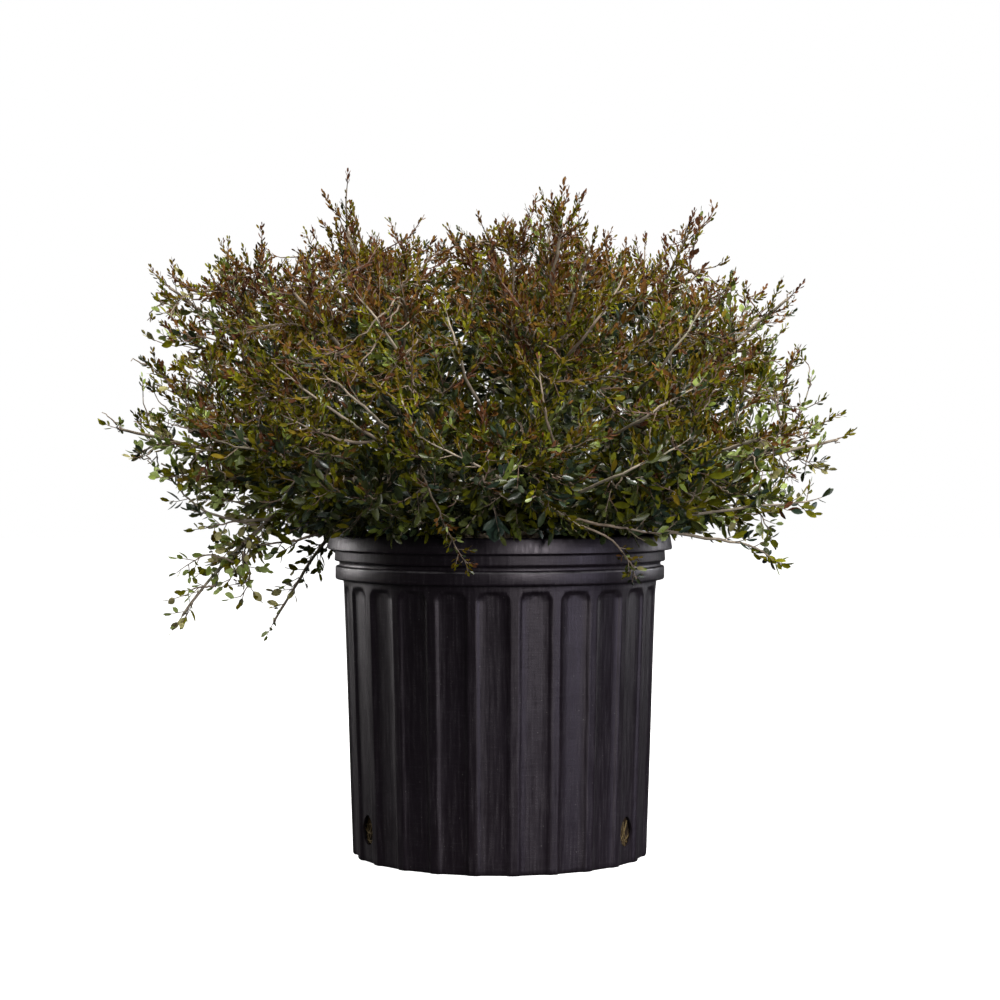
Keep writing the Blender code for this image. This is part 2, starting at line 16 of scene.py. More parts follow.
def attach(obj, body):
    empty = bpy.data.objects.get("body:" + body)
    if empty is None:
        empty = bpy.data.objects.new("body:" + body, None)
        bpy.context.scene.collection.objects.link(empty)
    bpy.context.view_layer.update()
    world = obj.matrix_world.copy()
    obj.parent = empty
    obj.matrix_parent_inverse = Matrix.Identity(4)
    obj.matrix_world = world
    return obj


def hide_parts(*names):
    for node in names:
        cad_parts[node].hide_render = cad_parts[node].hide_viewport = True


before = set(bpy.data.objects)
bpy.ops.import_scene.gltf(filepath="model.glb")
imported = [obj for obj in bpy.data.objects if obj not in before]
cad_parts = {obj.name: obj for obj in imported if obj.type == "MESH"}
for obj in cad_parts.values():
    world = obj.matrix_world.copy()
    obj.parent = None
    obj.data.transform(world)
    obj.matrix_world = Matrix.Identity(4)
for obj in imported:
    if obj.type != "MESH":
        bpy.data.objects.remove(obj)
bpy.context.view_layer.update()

CLEAR = 0.0003
SEED = 20
FULL_TURN = 2.0 * math.pi
UP = np.array([0.0, 0.0, 1.0])
AWRY = np.array([0.13, 0.21, 1.0])  # a way that no stem follows

# The pot
POT_HEIGHT = 0.2500
LIP_RADIUS = 0.1352
LIP_FOOT = 0.2380
LIP_LEAN = 0.0020
BAND_RADIUS = 0.1296
BAND_FOOT = 0.2290
GROOVE_RADIUS = 0.1258
COLLAR_RADIUS = 0.1287
COLLAR_TOP = 0.2251
COLLAR_FOOT = 0.2148
WALL_TOP_RADIUS = 0.1226
WALL_FOOT_RADIUS = 0.1154
FLOOR_THICKNESS = 0.0040
MOUTH_RADIUS = 0.1300
FLUTES = 24
FIRST_FLUTE_DEG = -92.4
FLUTE_DEPTH = 0.0026
FLUTE_TOP = 0.2105
ARCH_HEIGHT = 0.0085
ARCH_POWER = 2.4
RECESS_HALF_DEG = 6.3
RECESS_SLOPE = 0.33  # of the recess's half width
WALL_THICKNESS = 0.0016
WALL_INSET = 0.0002  # of the moulded wall in the plain one
WALL_WARP = 0.00045
RIM_INSET = 0.0003
RIM_WARP = 0.0005
RIM_ROUNDING = 0.0016
FOOT_LEVELS = (0.0, 0.0006, 0.0016, 0.004)
FOOT_TUCK = 0.0010
FOOT_TUCK_HEIGHT = 0.0016
DRAIN_HOLES = 3
DRAIN_FLUTE = 4
DRAIN_HEIGHT = 0.0250
DRAIN_WIDTH = 0.0180
DRAIN_TALL = 0.0230
DRAIN_SIDES = 28
DRAIN_CUT = 0.0120
DRAIN_NARROWING = 0.22
DRAIN_RAGGED = 0.05
FLUTE_COLUMNS_DEG = (
    -7.5, -6.7, -6.35, -6.1, -5.85, -5.6, -5.3, -5.0, -4.6, -2.2,
    0.0, 2.2, 4.6, 5.0, 5.3, 5.6, 5.85, 6.1, 6.35, 6.7,
)

# The potting mix
SOIL_TOP = 0.2240
SOIL_LEVEL_RADIUS = 0.0750
SOIL_DIP = 0.0040
MIX_INSET = 0.0006  # in the pot's wall
MIX_SIDES = 120
MIX_WALL_ROWS = 30
MIX_TOP_ROWS = 34
MIX_DROP = 0.0015  # of the body's rough top below the level one
CHIPS = 2600
CHIP_DROP = 0.0012
ROOTS = 12  # behind each drain hole
ROOT_POINTS = 12

# The trunk
TRUNK_FOOT = SOIL_TOP + CLEAR
TRUNK_RADII = (0.0225, 0.0165, 0.0140, 0.0130, 0.0115, 0.0085)
TRUNK_HEIGHTS = (0.0, 0.006, 0.016, 0.030, 0.050, 0.057)
TRUNK_SIDES = 12
TRUNK_RINGS = 34
TRUNK_RING_SIDES = 44
TRUNK_RELIEF = 0.07
TRUNK_ROOTS = 4
ROOT_SWELL = 0.14
FLARE_HEIGHT = 0.020
TRUNK_LEAN = Vector((0.05, 0.03))

# The crown
HEART = Vector((0.0, 0.0, 0.2620))
CROWN_LEFT = 0.310
CROWN_RIGHT = 0.273
CROWN_FRONT = 0.255
CROWN_BACK = 0.268
CROWN_TOP = 0.235
CROWN_SQUARENESS = 3.1
UNDERSIDE = 0.2500
UNDERSIDE_LEVEL_RADIUS = 0.170
UNDERSIDE_SLOPE = 0.38
TUFT_RADIUS = 0.030
RINGS = (
    ("top", 1, 0.0, 79.0, 1.06, 0.000, 0.0570, 90.0),
    ("high", 5, 0.0, 57.0, 1.06, 0.004, 0.0460, 50.0),
    ("shoulder", 7, 180.0, 35.0, 1.08, 0.006, 0.0330, 36.0),
    ("side", 8, 180.0, 13.0, 1.05, 0.004, 0.0200, 22.0),
)
HANGING = (
    ("hanging_left", 202.0, 0.268, 0.174, 0.085),
    ("hanging_left_back", 157.0, 0.204, 0.170, 0.085),
    ("hanging_right", -23.0, 0.243, 0.229, 0.060),
    ("hanging_back", 68.0, 0.236, 0.205, 0.070),
)
HANGING_ROOT = 0.0090
HANGING_ROOT_RISE = 30.0
FIRST_SEED = 100
BOUGH_ROOT_RADIUS = 0.0034
BOUGH_TIP_RADIUS = 0.0021
LIMB_TIP_RADIUS = 0.0009
STEM_POINTS = 6
LIMB_STRETCHES = 15
BOUGH_SHARE = 0.40
BEND_SHARE = 0.45
GOLDEN_ANGLE = math.radians(137.5)
UPWARD = 0.30
TURN_PRICE = 1.5
SPACE_MARGIN = 0.0010
LIMB_MARGIN = 0.0040
POT_MARGIN = 0.0035
TARGET_REACH = 0.110
CANDIDATES = 16

# The bark of the limbs
LIMB_RINGS = 46
LIMB_SIDES = 10
LIMB_RELIEF = 0.20
LIMB_WAVER = 0.0003
LIMB_SEAT = 0.0060  # into the trunk
LIMB_COLLAR = np.array([1.45, 1.30, 1.12, 1.04])  # swellings of its first rings

# The finer growth on the limbs
MAIN_TWIGS = 5  # the first twigs of a mass are the solids' own
TWIGS = 120
HANGING_TWIGS = 44
TWIG_STRETCHES = 5
TWIG_WAVER = 0.0009
MAIN_WAVER = 0.3  # of that, for the first twigs
TWIG_SIDES = 5
FINE_FEET = 14  # along a stem, for the finer twigs
SHOOT_POINTS = 4
LAST_SHOOT = 0.013
LEAST_LAST_STEP = 0.004  # of a twig that its last shoot carries on
SHOOT_GAPS = {  # the least one between shoots, and how much longer it may be
    "top": (0.0042, 0.0038),
    "high": (0.0042, 0.0038),
    "shoulder": (0.0047, 0.0042),
    "side": (0.0047, 0.0042),
    "hanging": (0.0032, 0.0026),
}
TALL_SHARE = 0.17
TALL_BEYOND = 0.11  # of the outline
TALL_THICKNESS = 1.5
SPURS = 5  # on each tall shoot
HANGING_PRESENCE = 0.95
SHOOT_RADII = np.array([0.00046, 0.00034, 0.00024])
INNER_RADII = np.array([0.0010, 0.0008, 0.0006, 0.0004])
SKIRT_RADII = np.array([0.0009, 0.0008, 0.0006, 0.0004])
HANGING_SPREAD = {  # of the growth off each hanging limb, at its middle and at its tip
    "hanging_left": (0.046, 0.012),
    "hanging_left_back": (0.022, 0.010),
    "hanging_right": (0.022, 0.014),
    "hanging_back": (0.034, 0.018),
}
SPREAD_ENDS = (0.72, 0.93)  # of the limb, from where it narrows to where it has
LIMB_SPREAD = 0.020
STEM_END = 0.93  # of a limb, where its last shoot takes over
HANGING_STEM_ENDS = {  # the one on the right runs on level
    "hanging_left": 0.955,
    "hanging_left_back": 0.985,
    "hanging_right": 0.72,
    "hanging_back": 0.93,
}
WAVES = 9  # that make the outline of the sprays uneven
WAVE_PITCHES = (12.0, 26.0)  # of those waves, per metre of a unit sphere
RAGGED = 0.045
FARTHEST = 1.06  # of the outline: the tall shoots end
FARTHEST_TIP = 1.11  # and the sprays at the limbs' tips
TOP_DROP = 0.070  # of the outline, by which most sprays end below the mound's top
LEFT_RISE = 1.9  # of that drop, by which the sprays at the upper left stand higher
RIGHT_DROP = 0.050  # of the outline, by which those on the right end sooner
HIGHEST = 0.5150
MOUND_FOOT = 0.2600
MOUND_RISE = 0.2350
INNER_TWIGS = {"top": 6, "high": 9, "shoulder": 16, "side": 60, "hanging": 16}

# Pale stems that the photograph shows in front of the leaves, each with its foot, bend and tip
FRONT_STEMS = (
    ((0.040, -0.149, 0.270), (-0.007, -0.279, 0.300), (-0.049, -0.242, 0.319)),
    ((0.035, -0.155, 0.273), (0.075, -0.267, 0.294), (0.125, -0.216, 0.317)),
    ((-0.004, -0.204, 0.297), (-0.012, -0.197, 0.287), (-0.002, -0.159, 0.267)),
    ((-0.086, -0.190, 0.321), (-0.123, -0.238, 0.346), (-0.154, -0.202, 0.370)),
    ((-0.076, -0.186, 0.328), (-0.098, -0.248, 0.348), (-0.119, -0.219, 0.363)),
    ((-0.088, -0.184, 0.319), (-0.116, -0.245, 0.322), (-0.150, -0.210, 0.337)),
    ((-0.063, -0.169, 0.370), (-0.079, -0.245, 0.400), (-0.098, -0.202, 0.419)),
    ((-0.148, -0.156, 0.313), (-0.169, -0.224, 0.312), (-0.201, -0.181, 0.321)),
    ((0.029, -0.138, 0.362), (0.067, -0.270, 0.396), (0.086, -0.190, 0.434)),
    ((-0.010, -0.151, 0.339), (-0.024, -0.281, 0.365), (-0.036, -0.224, 0.405)),
    ((0.072, -0.163, 0.321), (0.098, -0.258, 0.333), (0.134, -0.206, 0.356)),
    ((0.043, -0.173, 0.307), (0.031, -0.271, 0.333), (0.027, -0.238, 0.364)),
    ((-0.050, -0.179, 0.300), (-0.054, -0.267, 0.318), (-0.067, -0.236, 0.347)),
    ((0.099, -0.140, 0.356), (0.120, -0.244, 0.380), (0.142, -0.177, 0.413)),
    ((0.043, -0.150, 0.268), (0.086, -0.190, 0.257), (0.121, -0.150, 0.254)),
    ((0.104, -0.095, 0.263), (0.194, -0.120, 0.273), (0.234, -0.085, 0.277)),
    ((0.105, -0.090, 0.256), (0.184, -0.120, 0.251), (0.203, -0.090, 0.233)),
    ((-0.105, -0.060, 0.256), (-0.146, -0.082, 0.248), (-0.191, -0.075, 0.242)),
    ((-0.173, -0.075, 0.262), (-0.219, -0.105, 0.258), (-0.238, -0.095, 0.285)),
)
LEFT_SPRAYS = (
    ((-0.172, -0.080, 0.273), (-0.194, -0.094, 0.272), (-0.224, -0.092, 0.283)),
    ((-0.182, -0.085, 0.259), (-0.203, -0.098, 0.263), (-0.220, -0.100, 0.256)),
    ((-0.198, -0.095, 0.231), (-0.212, -0.103, 0.243), (-0.232, -0.100, 0.229)),
    ((-0.211, -0.098, 0.214), (-0.222, -0.102, 0.216), (-0.236, -0.098, 0.206)),
    ((-0.192, -0.090, 0.239), (-0.182, -0.083, 0.220), (-0.194, -0.085, 0.205)),
)
FRONT_SPRIGS = (
    ((-0.056, -0.190, 0.301), (-0.045, -0.200, 0.275), (-0.024, -0.150, 0.231)),
    ((0.043, -0.160, 0.267), (0.099, -0.180, 0.245), (0.096, -0.143, 0.222)),
)
SPRIG_ZONES = np.array([0.10, 0.75, 0.0, 0.15])
SPRAY_ZONES = np.array([0.0, 0.10, 0.0, 0.90])
FRONT_POINTS = 13
FRONT_GROWTH = (
    # the stems, their thickness, the gaps and the size of their shoots, the first of their points
    # that bears one, and the zones of their leaves
    (FRONT_STEMS, 0.0014, (0.0050, 0.0050), 1.0, 4, None),
    (LEFT_SPRAYS, 0.0009, (0.0034, 0.0030), 0.8, 0, SPRAY_ZONES),
    (FRONT_SPRIGS, 0.0010, (0.0022, 0.0016), 0.6, 4, SPRIG_ZONES),
)
# The largest leaf: its foot, heading, side, length, breadth and curl
FRONT_LEAF = (
    (-0.0030, -0.166, 0.2680), (-0.05, -0.10, -1.0), (1.0, -0.12, -0.05), 0.0200, 0.0132, 0.03,
)
# Short twigs hide the gap between the crown and the rim. For each of their points: how far out it
# is, its least and its greatest height
SKIRT_TWIGS = 170
SKIRT_RINGS = (
    (0.108, 0.263, 0.272), (0.122, 0.262, 0.272), (0.136, 0.258, 0.269), (0.147, 0.253, 0.264),
)

# The leaves' gaps, lengths and breadths as shares of their lengths, in the four zones: out in the
# light at the top, on the sides, in the shade and on the twigs that hang
LEAF_GAPS = (0.0016, 0.0016, 0.0032, 0.0036)
LEAF_LENGTHS = (0.0051, 0.0061, 0.0122, 0.0098)
LEAF_BREADTHS = (0.44, 0.42, 0.40, 0.60)
LEAF_SHARE = 0.86  # of a shoot, from its tip down
LARGE_LENGTH = 0.0090
OWN_TINT = 0.22  # of the leaves of a spray
TALL_APART = 1.5  # times the gap
TWIG_APART = 2.4
NEAR_SIDES = ("side_1", "side_2", "side_3", "side_4")
GROUPS = ("top", "high", "shoulder", "side_near", "side_far", "hanging")
TINTS = {
    "bronze": (0.175, 0.080, 0.022),
    "rust": (0.170, 0.084, 0.014),
    "maroon": (0.118, 0.048, 0.022),
    "brown_olive": (0.148, 0.104, 0.009),
    "olive": (0.130, 0.114, 0.007),
    "moss": (0.084, 0.088, 0.005),
    "yellow_green": (0.195, 0.190, 0.009),
    "open_end_share": (0.190, 0.245, 0.040),
    "mid_green": (0.064, 0.076, 0.014),
    "dark_green": (0.024, 0.038, 0.011),
    "blue_green": (0.024, 0.044, 0.026),
    # Two pale tints that stand in for light shining through the leaves from behind: painted
    # backlight
    "painted_backlight_green": (0.350, 0.430, 0.140),
    "painted_backlight_olive": (0.400, 0.370, 0.160),
    "sea_green": (0.016, 0.046, 0.028),
}
# The older, leathery leaves
GLOSSY = ("mid_green", "dark_green", "blue_green", "sea_green", "open_end_share")
TINT_NAMES = list(TINTS)
# How often each tint falls on a spray of each zone
MIXES = np.array([
    # bronze rust maroon brown olive moss yellow fresh mid dark blue painted_backlight_green
    # painted_backlight_olive
    (0.24, 0.09, 0.21, 0.19, 0.11, 0.05, 0.04, 0.01, 0.03, 0.03, 0.00, 0.00, 0.00),
    (0.05, 0.02, 0.05, 0.17, 0.22, 0.20, 0.09, 0.06, 0.08, 0.06, 0.00, 0.00, 0.00),
    # the shade row: its dark greens are partly the older leaves' own colour, partly painted shade
    # inside the crown
    (0.00, 0.00, 0.00, 0.02, 0.06, 0.16, 0.02, 0.05, 0.32, 0.23, 0.14, 0.00, 0.00),
    # the hanging row: its two pale tints are painted backlight
    (0.00, 0.00, 0.00, 0.03, 0.05, 0.04, 0.15, 0.30, 0.03, 0.00, 0.00, 0.24, 0.16),
])

# Each lamp's name, place, size, power and colour
LAMPS = (
    ("key_light", (0.60, -1.10, 2.20), 0.9, 60.0, (1.0, 0.98, 0.94)),
    ("left_light", (-1.60, 0.95, 0.50), 0.6, 11.0, (1.0, 0.98, 0.96)),
    ("left_front_light", (-1.35, -0.40, 2.00), 0.8, 17.0, (1.0, 0.99, 0.95)),
    ("rim_light", (0.3, 1.5, 2.0), 1.4, 24.0, (1.0, 1.0, 1.0)),
    ("side_light", (1.55, -1.20, 0.35), 1.0, 9.0, (0.84, 0.84, 1.0)),
    ("right_light", (1.60, 0.95, 0.50), 0.6, 7.0, (0.96, 0.97, 1.0)),
    ("front_light", (0.85, -2.15, 0.70), 0.8, 23.0, (1.0, 0.99, 0.97)),
)
LAMP_AIM = Vector((0.0, 0.0, 0.28))
CAMERA_PLACE = (0.0, -1.85, 0.302)
CAMERA_AIM = Vector((0.0, 0.0, 0.276))
FLOOR_HALF = 8.0
FLOOR_DROP = 0.0003

Limb = namedtuple("Limb", "name ring seed root bend tip")


# Materials


def shader_of(name):
    """A new material, its node tree and its Principled shader."""
    made = bpy.data.materials.new(name)
    made.use_nodes = True
    tree = made.node_tree
    return made, tree, tree.nodes["Principled BSDF"]


def place_of(tree, stretch=(1.0, 1.0, 1.0)):
    """Object coordinates, stretched along the axes."""
    coordinates = tree.nodes.new("ShaderNodeTexCoord")
    mapping = tree.nodes.new("ShaderNodeMapping")
    mapping.inputs["Scale"].default_value = stretch
    tree.links.new(coordinates.outputs["Object"], mapping.inputs["Vector"])
    return mapping.outputs["Vector"]


def noise_of(tree, scale, detail=4.0, stretch=(1.0, 1.0, 1.0), roughness=0.55):
    made = tree.nodes.new("ShaderNodeTexNoise")
    made.inputs["Scale"].default_value = scale
    made.inputs["Detail"].default_value = detail
    made.inputs["Roughness"].default_value = roughness
    tree.links.new(place_of(tree, stretch), made.inputs["Vector"])
    return made.outputs["Fac"]


def ramp_of(tree, value, stops):
    """A colour ramp of (position, colour) stops over a value."""
    made = tree.nodes.new("ShaderNodeValToRGB")
    while len(made.color_ramp.elements) < len(stops):
        made.color_ramp.elements.new(1.0)
    for element, (position, colour) in zip(made.color_ramp.elements, stops):
        element.position = position
        element.color = (*colour, 1.0)
    tree.links.new(value, made.inputs["Fac"])
    return made.outputs["Color"]


def range_of(tree, value, low, high, from_low=0.3, from_high=0.7):
    made = tree.nodes.new("ShaderNodeMapRange")
    made.inputs["From Min"].default_value = from_low
    made.inputs["From Max"].default_value = from_high
    made.inputs["To Min"].default_value = low
    made.inputs["To Max"].default_value = high
    tree.links.new(value, made.inputs["Value"])
    return made.outputs["Result"]


def specks_of(tree, scale, most, from_low, from_high, stretch=(1.0, 1.0, 1.0)):
    """Round specks: a share that falls from most in their middles to 0."""
    made = tree.nodes.new("ShaderNodeTexVoronoi")
    made.inputs["Scale"].default_value = scale
    tree.links.new(place_of(tree, stretch), made.inputs["Vector"])
    return range_of(tree, made.outputs["Distance"], most, 0.0, from_low, from_high)


def mix_of(tree, share, first, second):
    """Mixes two colours, each a socket or plain numbers."""
    made = tree.nodes.new("ShaderNodeMix")
    made.data_type = "RGBA"
    for number, value in ((0, share), (6, first), (7, second)):
        socket = made.inputs[number]
        if isinstance(value, bpy.types.NodeSocket):
            tree.links.new(value, socket)
        elif isinstance(value, tuple):
            socket.default_value = (*value, 1.0)
        else:
            socket.default_value = value
    return made.outputs[2]


def bump_of(tree, shader, height, strength, distance):
    made = tree.nodes.new("ShaderNodeBump")
    made.inputs["Strength"].default_value = strength
    made.inputs["Distance"].default_value = distance
    tree.links.new(height, made.inputs["Height"])
    before = shader.inputs["Normal"].links
    if before:
        tree.links.new(before[0].from_socket, made.inputs["Normal"])
    tree.links.new(made.outputs["Normal"], shader.inputs["Normal"])


def times(colour, factor):
    return tuple(min(1.0, c * factor) for c in colour)


def leaf_paint(name, colour, roughness, shine):
    """Leathery leaf: one tint with small blotches and an uneven gloss."""
    made, tree, shader = shader_of(name)
    blotches = noise_of(tree, 260.0, 2.0)
    tint = ramp_of(tree, blotches, ((0.30, times(colour, 0.72)), (0.70, times(colour, 1.28))))
    tree.links.new(tint, shader.inputs["Base Color"])
    gloss = range_of(tree, noise_of(tree, 500.0, 1.0), roughness - 0.07, roughness + 0.10)
    tree.links.new(gloss, shader.inputs["Roughness"])
    bump_of(tree, shader, noise_of(tree, 900.0, 2.0), 0.25, 0.0004)
    shader.inputs["Specular IOR Level"].default_value = shine
    return made


def bark_paint(name, dark, light, moss=None):
    """Grey bark: streaks along the stem, pale specks and an uneven, dull surface."""
    made, tree, shader = shader_of(name)
    streaks = noise_of(tree, 160.0, 6.0, (1.0, 1.0, 0.35))
    tint = ramp_of(tree, streaks, ((0.28, dark), (0.50, times(light, 0.78)), (0.72, light)))
    if moss:
        patches = range_of(tree, noise_of(tree, 38.0, 3.0), 0.0, 0.75, 0.52, 0.70)
        tint = mix_of(tree, patches, tint, moss)
    pale = specks_of(tree, 520.0, 0.55, 0.08, 0.22, (1.0, 1.0, 0.6))
    tint = mix_of(tree, pale, tint, times(light, 1.35))
    tree.links.new(tint, shader.inputs["Base Color"])
    tree.links.new(range_of(tree, streaks, 0.9, 0.7), shader.inputs["Roughness"])
    bump_of(tree, shader, noise_of(tree, 700.0, 5.0, (1.0, 1.0, 0.4)), 0.5, 0.0006)
    shader.inputs["Specular IOR Level"].default_value = 0.25
    return made


def pot_paint():
    """Worn black nursery plastic: satin, rubbed up and down and across, with dust and specks."""
    made, tree, shader = shader_of("black_plastic")
    rubbed = noise_of(tree, 90.0, 6.0, (6.0, 6.0, 0.30))
    across = noise_of(tree, 60.0, 5.0, (1.0, 1.0, 16.0))
    clouds = noise_of(tree, 14.0, 4.0)
    grain = noise_of(tree, 1500.0, 3.0)
    black, worn_black = (0.0070, 0.0044, 0.0068), (0.0120, 0.0088, 0.0130)
    tint = ramp_of(tree, clouds, ((0.32, black), (0.68, worn_black)))
    for streaks, dirt, least in (
        (rubbed, (0.120, 0.108, 0.118), 0.50),
        (across, (0.075, 0.068, 0.078), 0.54),
    ):
        dust = tree.nodes.new("ShaderNodeMath")
        dust.operation = "MULTIPLY"
        tree.links.new(range_of(tree, streaks, 0.0, 1.0, least, 0.78), dust.inputs[0])
        tree.links.new(range_of(tree, grain, 0.0, 0.60, 0.42, 0.75), dust.inputs[1])
        tint = mix_of(tree, dust.outputs[0], tint, dirt)
    spotted = specks_of(tree, 130.0, 0.45, 0.02, 0.07)
    tint = mix_of(tree, spotted, tint, (0.20, 0.19, 0.18))
    tree.links.new(tint, shader.inputs["Base Color"])
    tree.links.new(range_of(tree, rubbed, 0.30, 0.50), shader.inputs["Roughness"])
    bump_of(tree, shader, rubbed, 0.28, 0.0006)
    bump_of(tree, shader, across, 0.12, 0.0005)
    bump_of(tree, shader, grain, 0.16, 0.0002)
    bump_of(tree, shader, clouds, 0.35, 0.0030)
    shader.inputs["Specular Tint"].default_value = (1.0, 0.90, 1.0, 1.0)
    shader.inputs["Specular IOR Level"].default_value = 0.50
    return made


def highlight_edge_paint():
    """The same plastic, painted pale in patches along an edge: a painted highlight where the edge
    catches the light.
    """
    made, tree, shader = shader_of("painted_highlight_edge")
    highlight_patches = noise_of(tree, 55.0, 5.0)
    # dark plastic with patches of the pale painted highlight between them
    tint = ramp_of(tree, highlight_patches, ((0.36, (0.020, 0.017, 0.020)), (0.62, (0.150, 0.140, 0.150))))
    tree.links.new(tint, shader.inputs["Base Color"])
    tree.links.new(range_of(tree, highlight_patches, 0.45, 0.32), shader.inputs["Roughness"])
    bump_of(tree, shader, noise_of(tree, 700.0, 3.0), 0.2, 0.0003)
    return made


def soil_paint(name, dark, light, scale):
    made, tree, shader = shader_of(name)
    crumbs = noise_of(tree, scale, 6.0, (1.0, 1.0, 1.0), 0.7)
    tint = ramp_of(tree, crumbs, ((0.34, dark), (0.58, times(light, 0.6)), (0.74, light)))
    tree.links.new(tint, shader.inputs["Base Color"])
    shader.inputs["Roughness"].default_value = 0.95
    shader.inputs["Specular IOR Level"].default_value = 0.15
    bump_of(tree, shader, crumbs, 0.8, 0.0015)
    return made


# Meshes from arrays


def smooth(low, high, value):
    share = np.clip((value - low) / (high - low), 0.0, 1.0)
    return share * share * (3.0 - 2.0 * share)


def unit(vectors):
    return vectors / np.maximum(np.linalg.norm(vectors, axis=-1, keepdims=True), 1e-12)


def placed(name, data):
    """A new object in the scene."""
    made = bpy.data.objects.new(name, data)
    bpy.context.scene.collection.objects.link(made)
    return made


def solid_of(name, points, faces):
    mesh = bpy.data.meshes.new(name)
    mesh.from_pydata(points, [], faces)
    mesh.update()
    return placed(name, mesh)


def closed_faces(rings, sides):
    """Quads between rings of corners, and a face over each end."""
    faces = []
    for low in range(0, (rings - 1) * sides, sides):
        for i in range(sides):
            j = (i + 1) % sides
            faces.append((low + i, low + j, low + sides + j, low + sides + i))
    last = (rings - 1) * sides
    return faces + [tuple(reversed(range(sides))), tuple(range(last, last + sides))]


def ring_spot(angle, reach, height):
    """A place on a ring, where noise is read."""
    return Vector((math.cos(angle) * reach, math.sin(angle) * reach, height))


class Pile:
    """Many small meshes of triangles, gathered into one object."""

    def __init__(self):
        self.points, self.faces, self.tints, self.count = [], [], [], 0

    def add(self, points, faces, tints):
        """points (n, 3), faces (m, 3), tints a number or (m,)."""
        self.points.append(points)
        self.faces.append(faces + self.count)
        self.tints.append(np.broadcast_to(tints, len(faces)))
        self.count += len(points)

    def add_copies(self, points, faces, tints):
        """points (copies, n, 3), the same faces (m, 3) for each copy, tints (copies,)."""
        copies, n = points.shape[:2]
        if copies == 0:
            return
        all_faces = faces[None] + (np.arange(copies) * n)[:, None, None]
        self.add(points.reshape(-1, 3), all_faces.reshape(-1, 3), np.repeat(tints, len(faces)))

    def add_stems(self, curves, radii, sides, tints):
        """Round stems along curves (n, k, 3). The radii and the tints may be the same for all."""
        points = tube_points(curves, np.broadcast_to(radii, curves.shape[:2]), sides)
        faces = tube_faces(curves.shape[1], sides)
        self.add_copies(points, faces, np.broadcast_to(tints, len(curves)))

    def made(self, name, paints, shade_smooth=True):
        mesh = bpy.data.meshes.new(name)
        points = np.concatenate(self.points).astype(np.float32)
        faces = np.concatenate(self.faces).astype(np.int32)
        tints = np.concatenate(self.tints).astype(np.int32)
        mesh.vertices.add(len(points))
        mesh.vertices.foreach_set("co", points.ravel())
        mesh.loops.add(len(faces) * 3)
        mesh.loops.foreach_set("vertex_index", faces.ravel())
        mesh.polygons.add(len(faces))
        mesh.polygons.foreach_set("loop_start", np.arange(0, len(faces) * 3, 3, dtype=np.int32))
        mesh.polygons.foreach_set("material_index", tints)
        mesh.polygons.foreach_set("use_smooth", np.full(len(faces), shade_smooth))
        mesh.update(calc_edges=True)
        mesh.validate()
        for paint in paints:
            mesh.materials.append(paint)
        return placed(name, mesh)


def tube_faces(rings, sides):
    faces = []
    for k in range(rings - 1):
        for i in range(sides):
            j = (i + 1) % sides
            low, high = k * sides, (k + 1) * sides
            faces += [(low + i, low + j, high + j), (low + i, high + j, high + i)]
    for i in range(1, sides - 1):
        faces.append((0, i + 1, i))
    last = (rings - 1) * sides
    tip = rings * sides
    for i in range(sides):
        faces.append((last + i, last + (i + 1) % sides, tip))
    return np.array(faces)


def tube_points(curves, radii, sides):
    """Rings round many curves: curves (n, k, 3), radii (n, k) give (n, k * sides + 1, 3)."""
    headings = np.empty_like(curves)
    headings[:, 1:-1] = curves[:, 2:] - curves[:, :-2]
    headings[:, 0] = curves[:, 1] - curves[:, 0]
    headings[:, -1] = curves[:, -1] - curves[:, -2]
    headings = unit(headings)
    mean = unit(curves[:, -1] - curves[:, 0])
    rest = np.where(np.abs(mean[:, 2:3]) < 0.8, UP, np.array([1.0, 0.0, 0.0]))
    side = unit(np.cross(headings, rest[:, None, :]))
    up = np.cross(side, headings)
    turns = FULL_TURN * np.arange(sides) / sides
    outward = up[:, :, None, :] * np.cos(turns)[:, None]
    outward = outward + side[:, :, None, :] * np.sin(turns)[:, None]
    points = curves[:, :, None, :] + radii[:, :, None, None] * outward
    tips = curves[:, -1] + headings[:, -1] * radii[:, -1, None] * 1.5
    flat = points.reshape(len(curves), -1, 3)
    return np.concatenate([flat, tips[:, None, :]], axis=1)


def around(headings, turns):
    """Ways square to the headings, each turned about its own."""
    side = unit(np.cross(headings, AWRY))
    up = np.cross(side, headings)
    return up * np.cos(turns)[:, None] + side * np.sin(turns)[:, None]


def spots_on(curves, owner, place):
    """Points and headings at places on the owners' curves, counted in stretches."""
    k = np.minimum(place.astype(int), curves.shape[1] - 2)
    part = (place - k)[:, None]
    before, after = curves[owner, k], curves[owner, k + 1]
    return before * (1.0 - part) + after * part, unit(after - before)


# The source's rule of growth


def trunk_axis(height):
    return Vector((TRUNK_LEAN.x * height, TRUNK_LEAN.y * height, TRUNK_FOOT + height))


def trunk_radius(height):
    return float(np.interp(height, TRUNK_HEIGHTS, TRUNK_RADII))


def trunk_side(azimuth, height):
    half = math.pi / TRUNK_SIDES
    off_middle = math.radians(azimuth) % (2.0 * half) - half
    return trunk_radius(height) * math.cos(half) / math.cos(off_middle)


def towards(azimuth, rise):
    a, r = math.radians(azimuth), math.radians(rise)
    return Vector((math.cos(a) * math.cos(r), math.sin(a) * math.cos(r), math.sin(r)))


